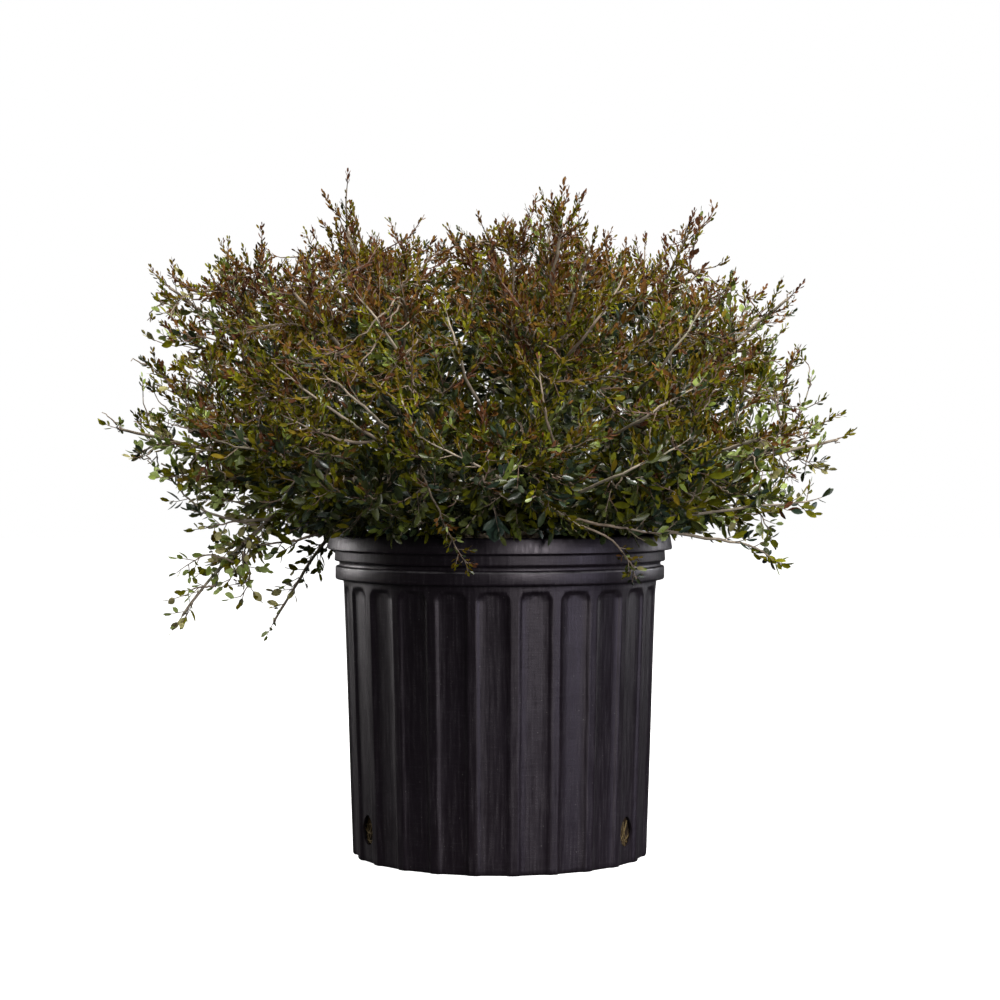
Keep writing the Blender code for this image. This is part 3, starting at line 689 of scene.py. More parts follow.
def outline_share(points):
    """How far points are out from the heart, where 1 is the mound's outline."""
    away = points - np.array(HEART)
    half_x = np.where(away[:, 0] < 0.0, CROWN_LEFT, CROWN_RIGHT)
    half_y = np.where(away[:, 1] < 0.0, CROWN_FRONT, CROWN_BACK)
    level = np.hypot(away[:, 0] / half_x, away[:, 1] / half_y)
    upward = np.abs(away[:, 2]) / CROWN_TOP
    return (level**CROWN_SQUARENESS + upward**CROWN_SQUARENESS) ** (1.0 / CROWN_SQUARENESS)


def over_underside(points):
    """How high points are over the mound's underside, which rises towards its outline."""
    out = np.hypot(points[:, 0], points[:, 1])
    beyond = np.maximum(out - UNDERSIDE_LEVEL_RADIUS, 0.0)
    return points[:, 2] - UNDERSIDE - UNDERSIDE_SLOPE * beyond


def limb(name, kind, seed, tip, arch, azimuth, root_height, root_rise):
    start = trunk_axis(root_height)
    leaving = towards(azimuth, root_rise)
    if root_rise < 90.0:
        out = towards(azimuth, 0.0)
        lean = BOUGH_ROOT_RADIUS * math.sin(math.radians(root_rise))
        start = start + out * (trunk_side(azimuth, root_height) + CLEAR + lean)
    else:
        start = start + Vector((0.0, 0.0, CLEAR))
    bend = start + leaving * (BEND_SHARE * (tip - start).length) + Vector((0.0, 0.0, arch))
    return Limb(name, kind, seed, start, bend, tip)


def limbs():
    made = []
    for kind, count, first, rise, reach, arch, root, root_rise in RINGS:
        for k in range(count):
            azimuth = first + k * 360.0 / count
            heading = towards(azimuth, rise)
            tip = HEART + heading * (reach / outline_share(np.array([HEART + heading]))[0])
            name = kind if count == 1 else f"{kind}_{k + 1}"
            seed = FIRST_SEED + len(made)
            made.append(limb(name, kind, seed, tip, arch, azimuth, root, root_rise))
    for name, azimuth, out, height, arch in HANGING:
        tip = towards(azimuth, 0.0) * out + Vector((0.0, 0.0, height))
        seed = FIRST_SEED + len(made)
        root = (HANGING_ROOT, HANGING_ROOT_RISE)
        made.append(limb(name, "hanging", seed, tip, arch, azimuth, *root))
    return made


def bezier(a, b, c, share):
    return a * (1.0 - share) ** 2 + b * (2.0 * share * (1.0 - share)) + c * share**2


def limb_point(one, share):
    return bezier(one.root, one.bend, one.tip, share)


def bezier_heading(a, b, c, share):
    return ((b - a) * (1.0 - share) + (c - b) * share).normalized()


def limb_heading(one, share):
    return bezier_heading(one.root, one.bend, one.tip, share)


def limb_points(one, first, last, count):
    return [limb_point(one, first + (last - first) * i / (count - 1)) for i in range(count)]


def stem_end(one):
    """How far along a limb its last shoot takes over."""
    return HANGING_STEM_ENDS.get(one.name, STEM_END)


def blend(low, high, share):
    return low + (high - low) * share


class Space:
    """Which limb each place belongs to, and how near the wood is."""

    def __init__(self, all_limbs):
        self.limbs = all_limbs
        starts, ends, owners, shares = [], [], [], []
        for i, one in enumerate(all_limbs):
            points = limb_points(one, 0.0, 1.0, LIMB_STRETCHES + 1)
            starts += points[:-1]
            ends += points[1:]
            owners += [i] * LIMB_STRETCHES
            shares += [k / LIMB_STRETCHES for k in range(LIMB_STRETCHES)]
        self.start = np.array(starts)
        self.along = np.array(ends) - self.start
        self.square = (self.along**2).sum(axis=1)
        self.owner = np.array(owners)
        self.share = np.array(shares)
        self.bough = self.share < BOUGH_SHARE
        thinning = (BOUGH_TIP_RADIUS - BOUGH_ROOT_RADIUS) * self.share / BOUGH_SHARE
        self.radius = BOUGH_ROOT_RADIUS + thinning

    def distances(self, points, chosen=slice(None)):
        """From each point to each of the chosen stretches of wood."""
        along = self.along[chosen]
        away = points[:, None, :] - self.start[chosen]
        share = np.clip((away * along).sum(axis=2) / self.square[chosen], 0.0, 1.0)
        return np.linalg.norm(away - along * share[..., None], axis=2)

    def holds(self, index, points, margin):
        """For each point, whether it is in the mass of this limb."""
        points = np.array(points)
        found = self.distances(points)
        own = found[:, ~self.bough & (self.owner == index)].min(axis=1)
        others = found[:, ~self.bough & (self.owner != index)].min(axis=1)
        from_boughs = (found[:, self.bough] - self.radius[self.bough]).min(axis=1)
        in_mound = (outline_share(points) < 1.0) & (over_underside(points) > 0.0)
        in_crown = in_mound | (own < TUFT_RADIUS)
        clear = (own + 2.0 * margin < others) & (from_boughs > LIMB_MARGIN)
        return in_crown & clear & clear_of_pot(points)

    def reaches(self, index, points, beyond=0.0):
        """For each point, whether the finest growth of this limb may stand there."""
        one, own = self.limbs[index], ~self.bough & (self.owner == index)
        found = self.distances(points, own)
        spread = LIMB_SPREAD
        if one.ring == "hanging":
            along = self.share[own][found.argmin(axis=1)]
            spread = blend(*HANGING_SPREAD[one.name], smooth(*SPREAD_ENDS, along))
        near_limb = found.min(axis=1) < spread
        out = outline_share(points)
        left, right = smooth(0.14, 0.25, -points[:, 0]), smooth(0.16, 0.24, points[:, 0])
        drop = TOP_DROP * smooth(0.34, 0.44, points[:, 2]) * (1.0 - LEFT_RISE * left)
        limit = 1.0 - (drop + RIGHT_DROP * right) + RAGGED * (unevenness(points) - 0.5)
        in_mound = (out < np.minimum(limit + beyond, FARTHEST)) & (over_underside(points) > 0.0)
        near_limb &= out < FARTHEST_TIP - RIGHT_DROP * right
        return (in_mound | near_limb) & clear_of_pot(points) & (points[:, 2] < HIGHEST)


def unevenness(points):
    """How far the sprays reach out in each direction from the heart: seeded waves, 0 on average."""
    draw = np.random.RandomState(SEED + 2)
    waves = unit(draw.normal(0.0, 1.0, (WAVES, 3))) * draw.uniform(*WAVE_PITCHES, (WAVES, 1))
    phases = draw.uniform(0.0, FULL_TURN, WAVES)
    ways = unit(points - np.array(HEART))
    return np.sin(ways @ waves.T + phases).sum(axis=1) / math.sqrt(WAVES / 2.0)


def clear_of_pot(points):
    out = np.hypot(points[:, 0], points[:, 1])
    return (out > LIP_RADIUS + POT_MARGIN) | (points[:, 2] > POT_HEIGHT + POT_MARGIN)


def targets(space, index, count):
    """Seeded places for the twigs to grow to, each the best of a few candidates."""
    one = space.limbs[index]
    draw = random.Random(one.seed)
    chosen = [np.array(p) for p in limb_points(one, BOUGH_SHARE, 1.0, STEM_POINTS)]
    for _ in range(count):
        tried = []
        for _ in range(CANDIDATES):
            share = blend(BOUGH_SHARE, 1.0, draw.random())
            turn, level = FULL_TURN * draw.random(), 2.0 * draw.random() - 1.0
            out = TARGET_REACH * draw.random() ** 0.5
            flat = math.sqrt(1.0 - level * level)
            way = Vector((flat * math.cos(turn), flat * math.sin(turn), level))
            tried.append(limb_point(one, share) + out * way)
        tried = np.array(tried)
        apart = np.linalg.norm(tried[:, None, :] - np.array(chosen), axis=2).min(axis=1)
        worth = apart * outline_share(tried) * space.holds(index, tried, SPACE_MARGIN)
        best = int(np.argmax(worth))
        if worth[best] > 0.0:
            chosen.append(tried[best])
            yield Vector(tried[best])


def wood_of(space, index, count):
    """The twigs of one mass, as (foot, bend, tip): the solids' own first, then finer ones, which
    leave the stem or an earlier twig by the same rule."""
    one = space.limbs[index]
    stem = limb_points(one, BOUGH_SHARE, 1.0, STEM_POINTS)
    feet = list(stem[1:-1])
    headings = [(foot - before).normalized() for before, foot in zip(stem, feet)]
    made, finer = [], False
    for place in targets(space, index, count):
        if len(made) == MAIN_TWIGS and not finer:
            finer = True
            end = stem_end(one) - 0.01
            shares = [blend(0.42, end, k / (FINE_FEET - 1)) for k in range(FINE_FEET)]
            feet = [limb_point(one, s) for s in shares]
            headings = [limb_heading(one, s) for s in shares]
            for twig in made:
                add_feet(twig, feet, headings)
        spots, ways = np.array(feet), np.array(headings)
        away = np.array(place) - spots
        length = np.linalg.norm(away, axis=1)
        price = length * (TURN_PRICE - (ways * away).sum(axis=1) / length)
        best = int(np.argmin(price))
        foot, heading = feet[best], headings[best]
        gone = place - foot
        leaving = (heading + gone.normalized() + Vector((0.0, 0.0, UPWARD))).normalized()
        bend = foot + leaving * (0.5 * gone.length)
        coarse = [bezier(foot, bend, place, k / 2.0) for k in (1, 2)]
        if finer or one.ring == "hanging":
            if not space.reaches(index, np.array([place]))[0]:
                continue
        if space.holds(index, coarse, SPACE_MARGIN).all():
            made.append((foot, bend, place))
            if finer:
                add_feet(made[-1], feet, headings)
            else:
                feet.append(coarse[0])
                headings.append((coarse[0] - foot).normalized())
    return made


def add_feet(twig, feet, headings):
    """Places on a twig that finer ones may leave from."""
    for share in (0.3, 0.5, 0.7, 0.85):
        feet.append(bezier(*twig, share))
        headings.append(bezier_heading(*twig, share))


# Wood


def wavered(points, size, seed):
    """A curve whose inner points are moved off line a little."""
    draw = np.random.RandomState(seed)
    off = np.cumsum(draw.normal(0.0, 1.0, points.shape), axis=-2)
    count = points.shape[-2]
    share = (np.arange(count) / (count - 1))[:, None]
    off = off - off[..., :1, :] * (1.0 - share) - off[..., -1:, :] * share
    return points + off * size


def bark_tube(pile, points, radii, seed):
    """A stem with the relief of its bark: ridges along it, swellings and small knots."""
    rings = len(points)
    flat = tube_points(points[None], radii[None], LIMB_SIDES)[0]
    ring_points = flat[:-1].reshape(rings, LIMB_SIDES, 3)
    for k in range(rings):
        for i in range(LIMB_SIDES):
            away = ring_points[k, i] - points[k]
            spot = ring_spot(FULL_TURN * i / LIMB_SIDES, 2.2, k * 0.35 + seed)
            ridge = noise.noise(spot) + 0.5 * noise.noise(spot * 2.3)
            ring_points[k, i] = points[k] + away * (1.0 + LIMB_RELIEF * ridge)
    pile.add(flat, tube_faces(rings, LIMB_SIDES), 0)


def grow_limbs(space, pile):
    """The boughs and stems, from inside the trunk to their tips."""
    for one in space.limbs:
        shares = [stem_end(one) * k / (LIMB_RINGS - 1) for k in range(LIMB_RINGS)]
        points = np.array([limb_point(one, s) for s in shares])
        first = points[0] + unit(np.array(one.root - one.bend)) * LIMB_SEAT
        points = np.concatenate([[first], points])
        radii = np.interp(
            [0.0] + shares,
            [0.0, BOUGH_SHARE, 1.0],
            [BOUGH_ROOT_RADIUS, BOUGH_TIP_RADIUS, LIMB_TIP_RADIUS],
        )
        radii[: len(LIMB_COLLAR)] *= LIMB_COLLAR
        points[4:] = wavered(points[4:], LIMB_WAVER, one.seed)
        bark_tube(pile, points, radii, one.seed * 3.1)


def grow_trunk(pile):
    grid = np.empty((TRUNK_RINGS, TRUNK_RING_SIDES, 3))
    for k in range(TRUNK_RINGS):
        height = TRUNK_HEIGHTS[-1] * k / (TRUNK_RINGS - 1)
        centre = trunk_axis(height)
        flare = ROOT_SWELL * max(0.0, 1.0 - height / FLARE_HEIGHT)
        for i in range(TRUNK_RING_SIDES):
            angle = FULL_TURN * i / TRUNK_RING_SIDES
            swollen = trunk_radius(height) * (1.0 + flare * math.cos(TRUNK_ROOTS * angle))
            spot = ring_spot(angle, 1.6, height * 55.0)
            ridge = noise.noise(spot) + 0.6 * noise.noise(spot * 2.7)
            swollen *= 1.0 + TRUNK_RELIEF * (ridge + 0.3 * noise.noise(spot * 6.1))
            x, y = centre.x + swollen * math.cos(angle), centre.y + swollen * math.sin(angle)
            grid[k, i] = (x, y, centre.z)
    top = np.array(trunk_axis(TRUNK_HEIGHTS[-1] + 0.002))
    flat = np.concatenate([grid.reshape(-1, 3), top[None]])
    pile.add(flat, tube_faces(TRUNK_RINGS, TRUNK_RING_SIDES), 0)


# Leaves


# A leaf's corners, as shares of its length, of half its width and of its fold
LARGE_LEAF = np.array([
    (0.00, 0.00, 0.00), (0.13, -0.42, 0.16), (0.36, -0.90, 0.30), (0.66, -0.96, 0.30),
    (0.90, -0.50, 0.16), (1.00, 0.00, 0.00), (0.90, 0.50, 0.16), (0.66, 0.96, 0.30),
    (0.36, 0.90, 0.30), (0.13, 0.42, 0.16), (0.36, 0.00, 0.00), (0.70, 0.00, 0.00),
])
LARGE_FACES = np.array([
    (0, 10, 1), (1, 10, 2), (2, 10, 3), (10, 11, 3), (3, 11, 4), (4, 11, 5),
    (0, 9, 10), (9, 8, 10), (8, 7, 10), (10, 7, 11), (7, 6, 11), (6, 5, 11),
])
SMALL_LEAF = np.array([
    (0.00, 0.00, 0.00), (0.32, -0.84, 0.22), (0.74, -0.86, 0.22), (1.00, 0.00, 0.00),
    (0.74, 0.86, 0.22), (0.32, 0.84, 0.22),
])
SMALL_FACES = np.array([(0, 3, 2), (0, 2, 1), (0, 4, 3), (0, 5, 4)])


def broad_faces(way, k):
    """The faces of one stretch of one half of the largest leaf, from its midrib to its edge."""
    first = BROAD_STEPS + 1 + way * (BROAD_STEPS - 1)
    edge = [first + k - 1, first + k]
    if k == 0:
        made = [(k, k + 1, edge[1])]
    elif k == BROAD_STEPS - 1:
        made = [(k, k + 1, edge[0])]
    else:
        made = [(k, k + 1, edge[1]), (k, edge[1], edge[0])]
    return made if way == 0 else [face[::-1] for face in made]


# The largest leaf at the front, in more corners
BROAD_STEPS = 9
BROAD_LEAF = np.array(
    [(k / BROAD_STEPS, 0.0, 0.0) for k in range(BROAD_STEPS + 1)]
    + [
        (k / BROAD_STEPS, way * math.sin(math.pi * (k / BROAD_STEPS) ** 1.12) ** 0.80, 0.14)
        for way in (-1.0, 1.0)
        for k in range(1, BROAD_STEPS)
    ]
)
BROAD_FACES = np.array([
    face
    for way in (0, 1)
    for k in range(BROAD_STEPS)
    for face in broad_faces(way, k)
])


def leaf_points(shape, feet, headings, sides, lengths, widths, curls):
    """Leaves of one shape at many places: (n, corners, 3)."""
    faces = np.cross(sides, headings)
    along, across, lift = shape[:, 0], shape[:, 1], shape[:, 2]
    half = widths[:, None] / 2.0
    reach = lengths[:, None] * along
    rise = half * lift - curls[:, None] * lengths[:, None] * along**2
    return (
        feet[:, None, :]
        + headings[:, None, :] * reach[..., None]
        + sides[:, None, :] * (half * across)[..., None]
        + faces[:, None, :] * rise[..., None]
    )


def height_share(points):
    """0 at the mound's foot to 1 at its top."""
    return np.clip((points[:, 2] - MOUND_FOOT) / MOUND_RISE, 0.0, 1.0)


def zones_of(points, hanging):
    """Shares of the four zones at each point."""
    light = smooth(0.55, 0.92, outline_share(points))
    high = height_share(points)
    top = light * smooth(0.28, 0.85, high)
    shade = (1.0 - light) + light * smooth(0.36, 0.05, high) * 0.90
    shade = np.clip(shade, 0.0, 1.0) * (1.0 - top)
    side = np.clip(1.0 - top - shade, 0.0, 1.0)
    zones = np.stack([top, side, shade, np.zeros(len(points))], axis=1)
    # Leaves at the open ends take part of the hanging mix, more on the left: partly their own fresh
    # green, partly painted backlight from its pale tints.
    share = np.where(points[:, 0] < 0.0, 0.65, 0.35)
    open_end_share = (share * aside_of(points) * (1.0 - 0.6 * top))[:, None]
    zones = zones * (1.0 - open_end_share) + open_end_share * np.array([0.0, 0.4, 0.0, 0.6])
    if hanging:
        zones = zones * 0.15 + np.array([0.0, 0.0, 0.0, 0.85])
    return zones / zones.sum(axis=1, keepdims=True)


def by_zone(zones, values):
    """One value for each point, mixed from those of the zones."""
    return sum(share * value for share, value in zip(zones.T, values))


def group_of(one):
    """The group of masses whose growth makes one piece: a ring, or half of the lowest ring."""
    if one.ring != "side":
        return one.ring
    return "side_near" if one.name in NEAR_SIDES else "side_far"


def main_growth(space, old, young, leaves):
    """Twigs, shoots and leaves of every mass, into the piles of its group."""
    draw = np.random.RandomState(SEED)
    for index, one in enumerate(space.limbs):
        group = group_of(one)
        grow_mass(space, index, draw, old[group], young[group], leaves[group])
    grow_front(draw, old["side_near"], young["side_near"], leaves["side_near"])


def twig_curves(twigs):
    """Points along each twig, up to where its last shoot takes over."""
    a, b, c = (np.array([np.array(t[k]) for t in twigs])[:, None, :] for k in range(3))
    ends = 1.0 - np.minimum(LAST_SHOOT / np.linalg.norm(c - a, axis=2), 0.5)
    share = (ends * np.arange(TWIG_STRETCHES + 1)[None, :] / TWIG_STRETCHES)[..., None]
    return bezier(a, b, c, share)


def grow_mass(space, index, draw, old, young, leaves):
    one = space.limbs[index]
    hanging = one.ring == "hanging"
    twigs = wood_of(space, index, HANGING_TWIGS if hanging else TWIGS)
    curves = twig_curves(twigs)
    main = np.arange(len(twigs)) < MAIN_TWIGS
    waver = draw.normal(0.0, TWIG_WAVER, curves[:, 1:-1].shape)
    curves[:, 1:-1] += waver * np.where(main, MAIN_WAVER, 1.0)[:, None, None]
    lengths = np.linalg.norm(np.diff(curves, axis=1), axis=2).sum(axis=1)
    root = np.where(main, 0.00115, 0.00062 + 0.006 * np.clip(lengths, 0.0, 0.10))
    tip = np.where(main, 0.00050, 0.00036)
    fall = (np.arange(TWIG_STRETCHES + 1) / TWIG_STRETCHES)[None, :] ** 0.8
    radii = root[:, None] * (1.0 - fall) + tip[:, None] * fall
    grey = main & (one.ring in ("side", "hanging"))
    old.add_stems(curves, radii, TWIG_SIDES, np.where(grey, 0, 1))
    # the stem itself bears shoots too
    stem = np.array(limb_points(one, BOUGH_SHARE + 0.08, stem_end(one), TWIG_STRETCHES + 1))
    bearers = np.concatenate([curves, stem[None]])
    shoots, tall = grow_shoots(bearers, hanging, draw, SHOOT_GAPS[one.ring], space, index)
    if not len(shoots):
        return
    short = int((~tall).sum())
    spurs = spurs_of(shoots[tall], draw)
    thickness = np.repeat([1.0, TALL_THICKNESS, 1.0], [short, len(shoots) - short, len(spurs)])
    shoots = np.concatenate([shoots[~tall], shoots[tall], spurs])
    inner_share = outline_share(shoots[:, 2]) + draw.normal(0.0, 0.12, len(shoots))
    tints = (inner_share < 0.72).astype(int)
    young.add_stems(shoots[:, [0, 2, 3]], thickness[:, None] * SHOOT_RADII, 3, tints)
    grow_leaves(shoots[:short], hanging, draw, leaves)
    grow_leaves(shoots[short:], hanging, draw, leaves, TALL_APART)
    bearing = draw.random_sample(len(twigs)) > 0.85 * aside_of(curves[:, 3])
    grow_leaves(curves[bearing][:, 2:], hanging, draw, leaves, TWIG_APART)
    inner = inner_twigs(one, draw)
    old.add_stems(inner, INNER_RADII, TWIG_SIDES, 0)
    grow_leaves(inner, False, draw, leaves)


def inner_twigs(one, draw):
    """Twigs on the bough, in the shade over the pot: (n, SHOOT_POINTS, 3)."""
    wanted = INNER_TWIGS[one.ring]
    count = wanted * 6
    low = one.ring in ("side", "hanging")
    shares = draw.uniform(0.12, 0.66 if low else 0.55, count)
    feet = np.array([limb_point(one, s) for s in shares])
    headings = np.array([limb_heading(one, s) for s in shares])
    rise = draw.uniform(-0.50, 0.0, count) if low else np.full(count, 0.15)
    rise = rise[:, None] * UP
    aside = unit(np.cross(headings, UP)) * draw.choice([-1.0, 1.0], count)[:, None]
    random_way = draw.normal(0.0, 0.28 if low else 0.55, (count, 3))
    leaving = unit(headings * 0.5 + aside * (0.8 if low else 0.0) + random_way + rise)
    ending = unit(leaving + headings * 0.4 + rise * 0.5)
    length = draw.uniform(0.030, 0.075, count)[:, None]
    bends = feet + leaving * length * 0.5
    tips = bends + ending * length * 0.5
    second = feet * 0.45 + bends * 0.45 + tips * 0.10
    third = feet * 0.1 + bends * 0.45 + tips * 0.45
    clear = clear_of_pot(tips) & clear_of_pot(third) & (over_underside(tips) > 0.0)
    clear &= outline_share(tips) < 0.80
    made = np.stack([feet, second, third, tips], axis=1)[clear]
    if not low:
        return made[:wanted]
    half = wanted // 2
    lowest = np.argsort(made[half:, -1, 2])[: wanted - half]
    return np.concatenate([made[:half], made[half:][lowest]])


def skirt_twigs(draw):
    """Short twigs in the shade that end just over the pot's rim: (n, SHOOT_POINTS, 3)."""
    turns = draw.uniform(0.0, FULL_TURN, SKIRT_TWIGS)
    made = []
    for out, low, high in SKIRT_RINGS:
        turns = turns + draw.normal(0.0, 0.06, SKIRT_TWIGS)
        away = out + draw.uniform(-0.008, 0.008, SKIRT_TWIGS)
        level = draw.uniform(low, high, SKIRT_TWIGS)
        made.append(np.stack([np.cos(turns) * away, np.sin(turns) * away, level], axis=1))
    return np.stack(made, axis=1)


def aside_of(points):
    """1 in the open left and right ends of the crown, 0 in its middle."""
    return np.maximum(smooth(0.16, 0.28, -points[:, 0]), smooth(0.12, 0.23, points[:, 0]))


def spurs_of(tall, draw):
    """Short spurs up each tall shoot: (n, SHOOT_POINTS, 3)."""
    count = len(tall) * SPURS
    owner = np.repeat(np.arange(len(tall)), SPURS)
    share = np.tile(np.arange(SPURS), len(tall)) + draw.uniform(0.4, 1.2, count)
    share = share / (SPURS + 0.6)
    feet, heading = spots_on(tall, owner, np.clip(share, 0.0, 0.98) * (SHOOT_POINTS - 1))
    outward = around(heading, GOLDEN_ANGLE * np.arange(count) + draw.uniform(0.0, 0.6, count))
    leaving = unit(heading + outward * draw.uniform(0.6, 1.2, count)[:, None] + 0.25 * UP)
    length = draw.uniform(0.0045, 0.0105, count) * (1.15 - 0.5 * share)
    along = np.arange(SHOOT_POINTS) / (SHOOT_POINTS - 1)
    return feet[:, None, :] + leaving[:, None, :] * (length[:, None] * along)[..., None]


def grow_front(draw, old, young, leaves):
    """The pale stems, the sprigs over the rim and the large leaf at the front of the crown."""
    share = (np.arange(FRONT_POINTS) / (FRONT_POINTS - 1))[:, None]
    for stems, thick, gap, size, first, zones in FRONT_GROWTH:
        radii = np.linspace(thick, 0.4 * thick, FRONT_POINTS)
        for number, stem in enumerate(stems):
            foot, bend, tip = (np.array(p) for p in stem)
            curve = wavered(bezier(foot, bend, tip, share), 0.0006, SEED + number)
            brown = zones is not None or number % 3 == 2
            old.add_stems(curve[None], radii, 6, int(brown))
            shoots, _ = grow_shoots([curve[first:]], zones is not None, draw, gap)
            shoots = shoots[:, :1] + (shoots - shoots[:, :1]) * size
            young.add_stems(shoots[:, [0, 2, 3]], SHOOT_RADII, 3, 1)
            grow_leaves(shoots, False, draw, leaves, zones=zones)
    skirt = skirt_twigs(draw)
    old.add_stems(skirt, SKIRT_RADII, TWIG_SIDES, 0)
    grow_leaves(skirt, False, draw, leaves)
    foot, heading, side, length, breadth, curl = (np.array([value]) for value in FRONT_LEAF)
    made = leaf_points(BROAD_LEAF, foot, unit(heading), side, length, breadth, curl)
    leaves.add_copies(made, BROAD_FACES, np.array([TINT_NAMES.index("sea_green")]))


def grow_shoots(bearers, hanging, draw, gap, space=None, index=None):
    """Short shoots round each twig: (n, SHOOT_POINTS, 3), and which of them are tall. They stay in
    reach of their limb or, where no space is given, only clear of the pot."""
    feet, headings, final = [], [], []
    for curve in bearers:
        steps = np.linalg.norm(np.diff(curve, axis=0), axis=1)
        ends = np.concatenate([[0.0], np.cumsum(steps)])
        spot = ends[-1] * 0.15 + draw.random_sample() * 0.008
        while spot < ends[-1]:
            k = min(int(np.searchsorted(ends, spot)) - 1, len(steps) - 1)
            share = (spot - ends[k]) / steps[k]
            feet.append(curve[k] * (1.0 - share) + curve[k + 1] * share)
            headings.append(curve[k + 1] - curve[k])
            final.append(False)
            spot += gap[0] + gap[1] * draw.random_sample()
        feet.append(curve[-1])
        headings.append(curve[-1] - curve[-2])
        final.append(steps[-1] > LEAST_LAST_STEP)
    feet, headings, final = np.array(feet), unit(np.array(headings)), np.array(final)
    count = len(feet)
    outward = around(headings, GOLDEN_ANGLE * np.arange(count) + draw.random_sample() * 6.28)
    lean = np.radians(draw.uniform(34.0, 62.0, count)) * np.where(final, 0.1, 1.0)
    leaving = headings * np.cos(lean)[:, None] + outward * np.sin(lean)[:, None]
    from_heart = unit(feet - np.array(HEART))
    out, high = outline_share(feet), height_share(feet)
    lift = 0.25 + smooth(0.5, 0.95, out) * (0.25 + 0.85 * high)
    if hanging:
        lift = np.where(feet[:, 0] < 0.0, -0.05, 0.30)
    ending = unit(leaving + UP * lift[:, None] + from_heart * (0.10 if hanging else 0.35))
    if hanging:
        ending[final] = unit(headings[final] - 0.15 * UP)
    length = draw.uniform(0.012, 0.030, count) * (0.8 + 0.5 * high)
    tall = (draw.random_sample(count) < TALL_SHARE) & (out > 0.80) & (high > 0.30)
    length = np.where(tall, draw.uniform(0.028, 0.056, count), length)
    if hanging:
        length = length * 0.75
    length = np.where(final, LAST_SHOOT * draw.uniform(0.9, 1.2, count), length)
    kept = draw.random_sample(count) < presence(feet, out, hanging)
    bend = feet + leaving * (length * 0.5)[:, None]
    end = bend + ending * (length * 0.5)[:, None]
    along = [k / (SHOOT_POINTS - 1) for k in range(SHOOT_POINTS)]
    shoots = np.stack([bezier(feet, bend, end, share) for share in along], axis=1)
    if space:
        beyond = np.where(tall, TALL_BEYOND, 0.0)
        kept &= space.reaches(index, shoots[:, -1], beyond) & space.reaches(index, shoots[:, 1])
    else:
        kept = clear_of_pot(shoots[:, -1]) & clear_of_pot(shoots[:, 1])
    kept |= final
    return shoots[kept], (tall & ~final)[kept]


def presence(feet, out, hanging):
    """How likely a shoot is at each place: the shell is dense and the inside and the edges open."""
    if hanging:
        return HANGING_PRESENCE
    dense = 0.42 + 0.58 * smooth(0.42, 0.80, out)
    dense *= 1.0 - np.where(feet[:, 0] < 0.0, 0.86, 0.79) * aside_of(feet)
    low = 1.0 - smooth(0.004, 0.040, over_underside(feet))
    wide = np.maximum(np.abs(feet[:, 0]), feet[:, 1])
    return dense * (1.0 - 0.75 * low * smooth(0.15, 0.20, wide))


def grow_leaves(curves, hanging, draw, pile, apart=1.0, zones=None):
    """Leaves along many equal curves: large in the shade, tiny at the sunny tips."""
    if zones is None:
        zones = zones_of(curves[:, -1], hanging)
    zones = np.broadcast_to(zones, (len(curves), 4))
    kind = (draw.random_sample(len(curves))[:, None] > np.cumsum(zones, axis=1)).sum(axis=1)
    zones = 0.4 * zones + 0.6 * np.eye(4)[np.minimum(kind, 3)]
    pick = draw.random_sample(len(curves))
    mixes = np.cumsum(zones @ MIXES, axis=1)
    mixes /= mixes[:, -1:]
    totals = np.linalg.norm(np.diff(curves, axis=1), axis=2).sum(axis=1)
    numbers = np.maximum((totals / (by_zone(zones, LEAF_GAPS) * apart)).astype(int), 2)
    owner = np.repeat(np.arange(len(curves)), numbers)
    count = len(owner)
    order = np.arange(count) - np.repeat(np.cumsum(numbers) - numbers, numbers)
    share = 1.0 - order / numbers[owner] * (1.0 if apart == TWIG_APART else LEAF_SHARE)
    feet, heading = spots_on(curves, owner, share * (curves.shape[1] - 1))
    turns = GOLDEN_ANGLE * order + 6.28 * pick[owner] + draw.normal(0.0, 0.3, count)
    outward = around(heading, turns)
    lean = np.radians(draw.uniform(22.0, 54.0, count)) * np.where(order == 0, 0.25, 1.0)
    leaning = heading * np.cos(lean)[:, None] + outward * np.sin(lean)[:, None]
    leaning = unit(leaning + 0.16 * UP)
    across = unit(np.cross(leaning, outward + draw.normal(0.0, 0.35, outward.shape)))
    grown = np.where(order < 3, 0.72 + 0.09 * order, 1.0)
    length = by_zone(zones, LEAF_LENGTHS)[owner] * grown * draw.uniform(0.75, 1.2, count)
    width = length * by_zone(zones, LEAF_BREADTHS)[owner] * draw.uniform(0.88, 1.12, count)
    curl = draw.uniform(0.0, 0.14, count)
    # some leaves of a spray take their own tint
    own = draw.random_sample(count) < OWN_TINT
    other = (draw.random_sample(count)[:, None] > mixes[owner]).sum(axis=1)
    tints = np.where(own, other, (pick[:, None] > mixes).sum(axis=1)[owner])
    inside = clear_of_pot(feet + leaning * length[:, None])
    large = length > LARGE_LENGTH
    for shape, faces, chosen in (
        (LARGE_LEAF, LARGE_FACES, inside & large),
        (SMALL_LEAF, SMALL_FACES, inside & ~large),
    ):
        parts = (feet, leaning, across, length, width, curl)
        made = leaf_points(shape, *(part[chosen] for part in parts))
        pile.add_copies(made, faces, tints[chosen])


# The pot


def wall_radius(height):
    share = min(max(height / COLLAR_FOOT, 0.0), 1.0)
    return WALL_FOOT_RADIUS + (WALL_TOP_RADIUS - WALL_FOOT_RADIUS) * share


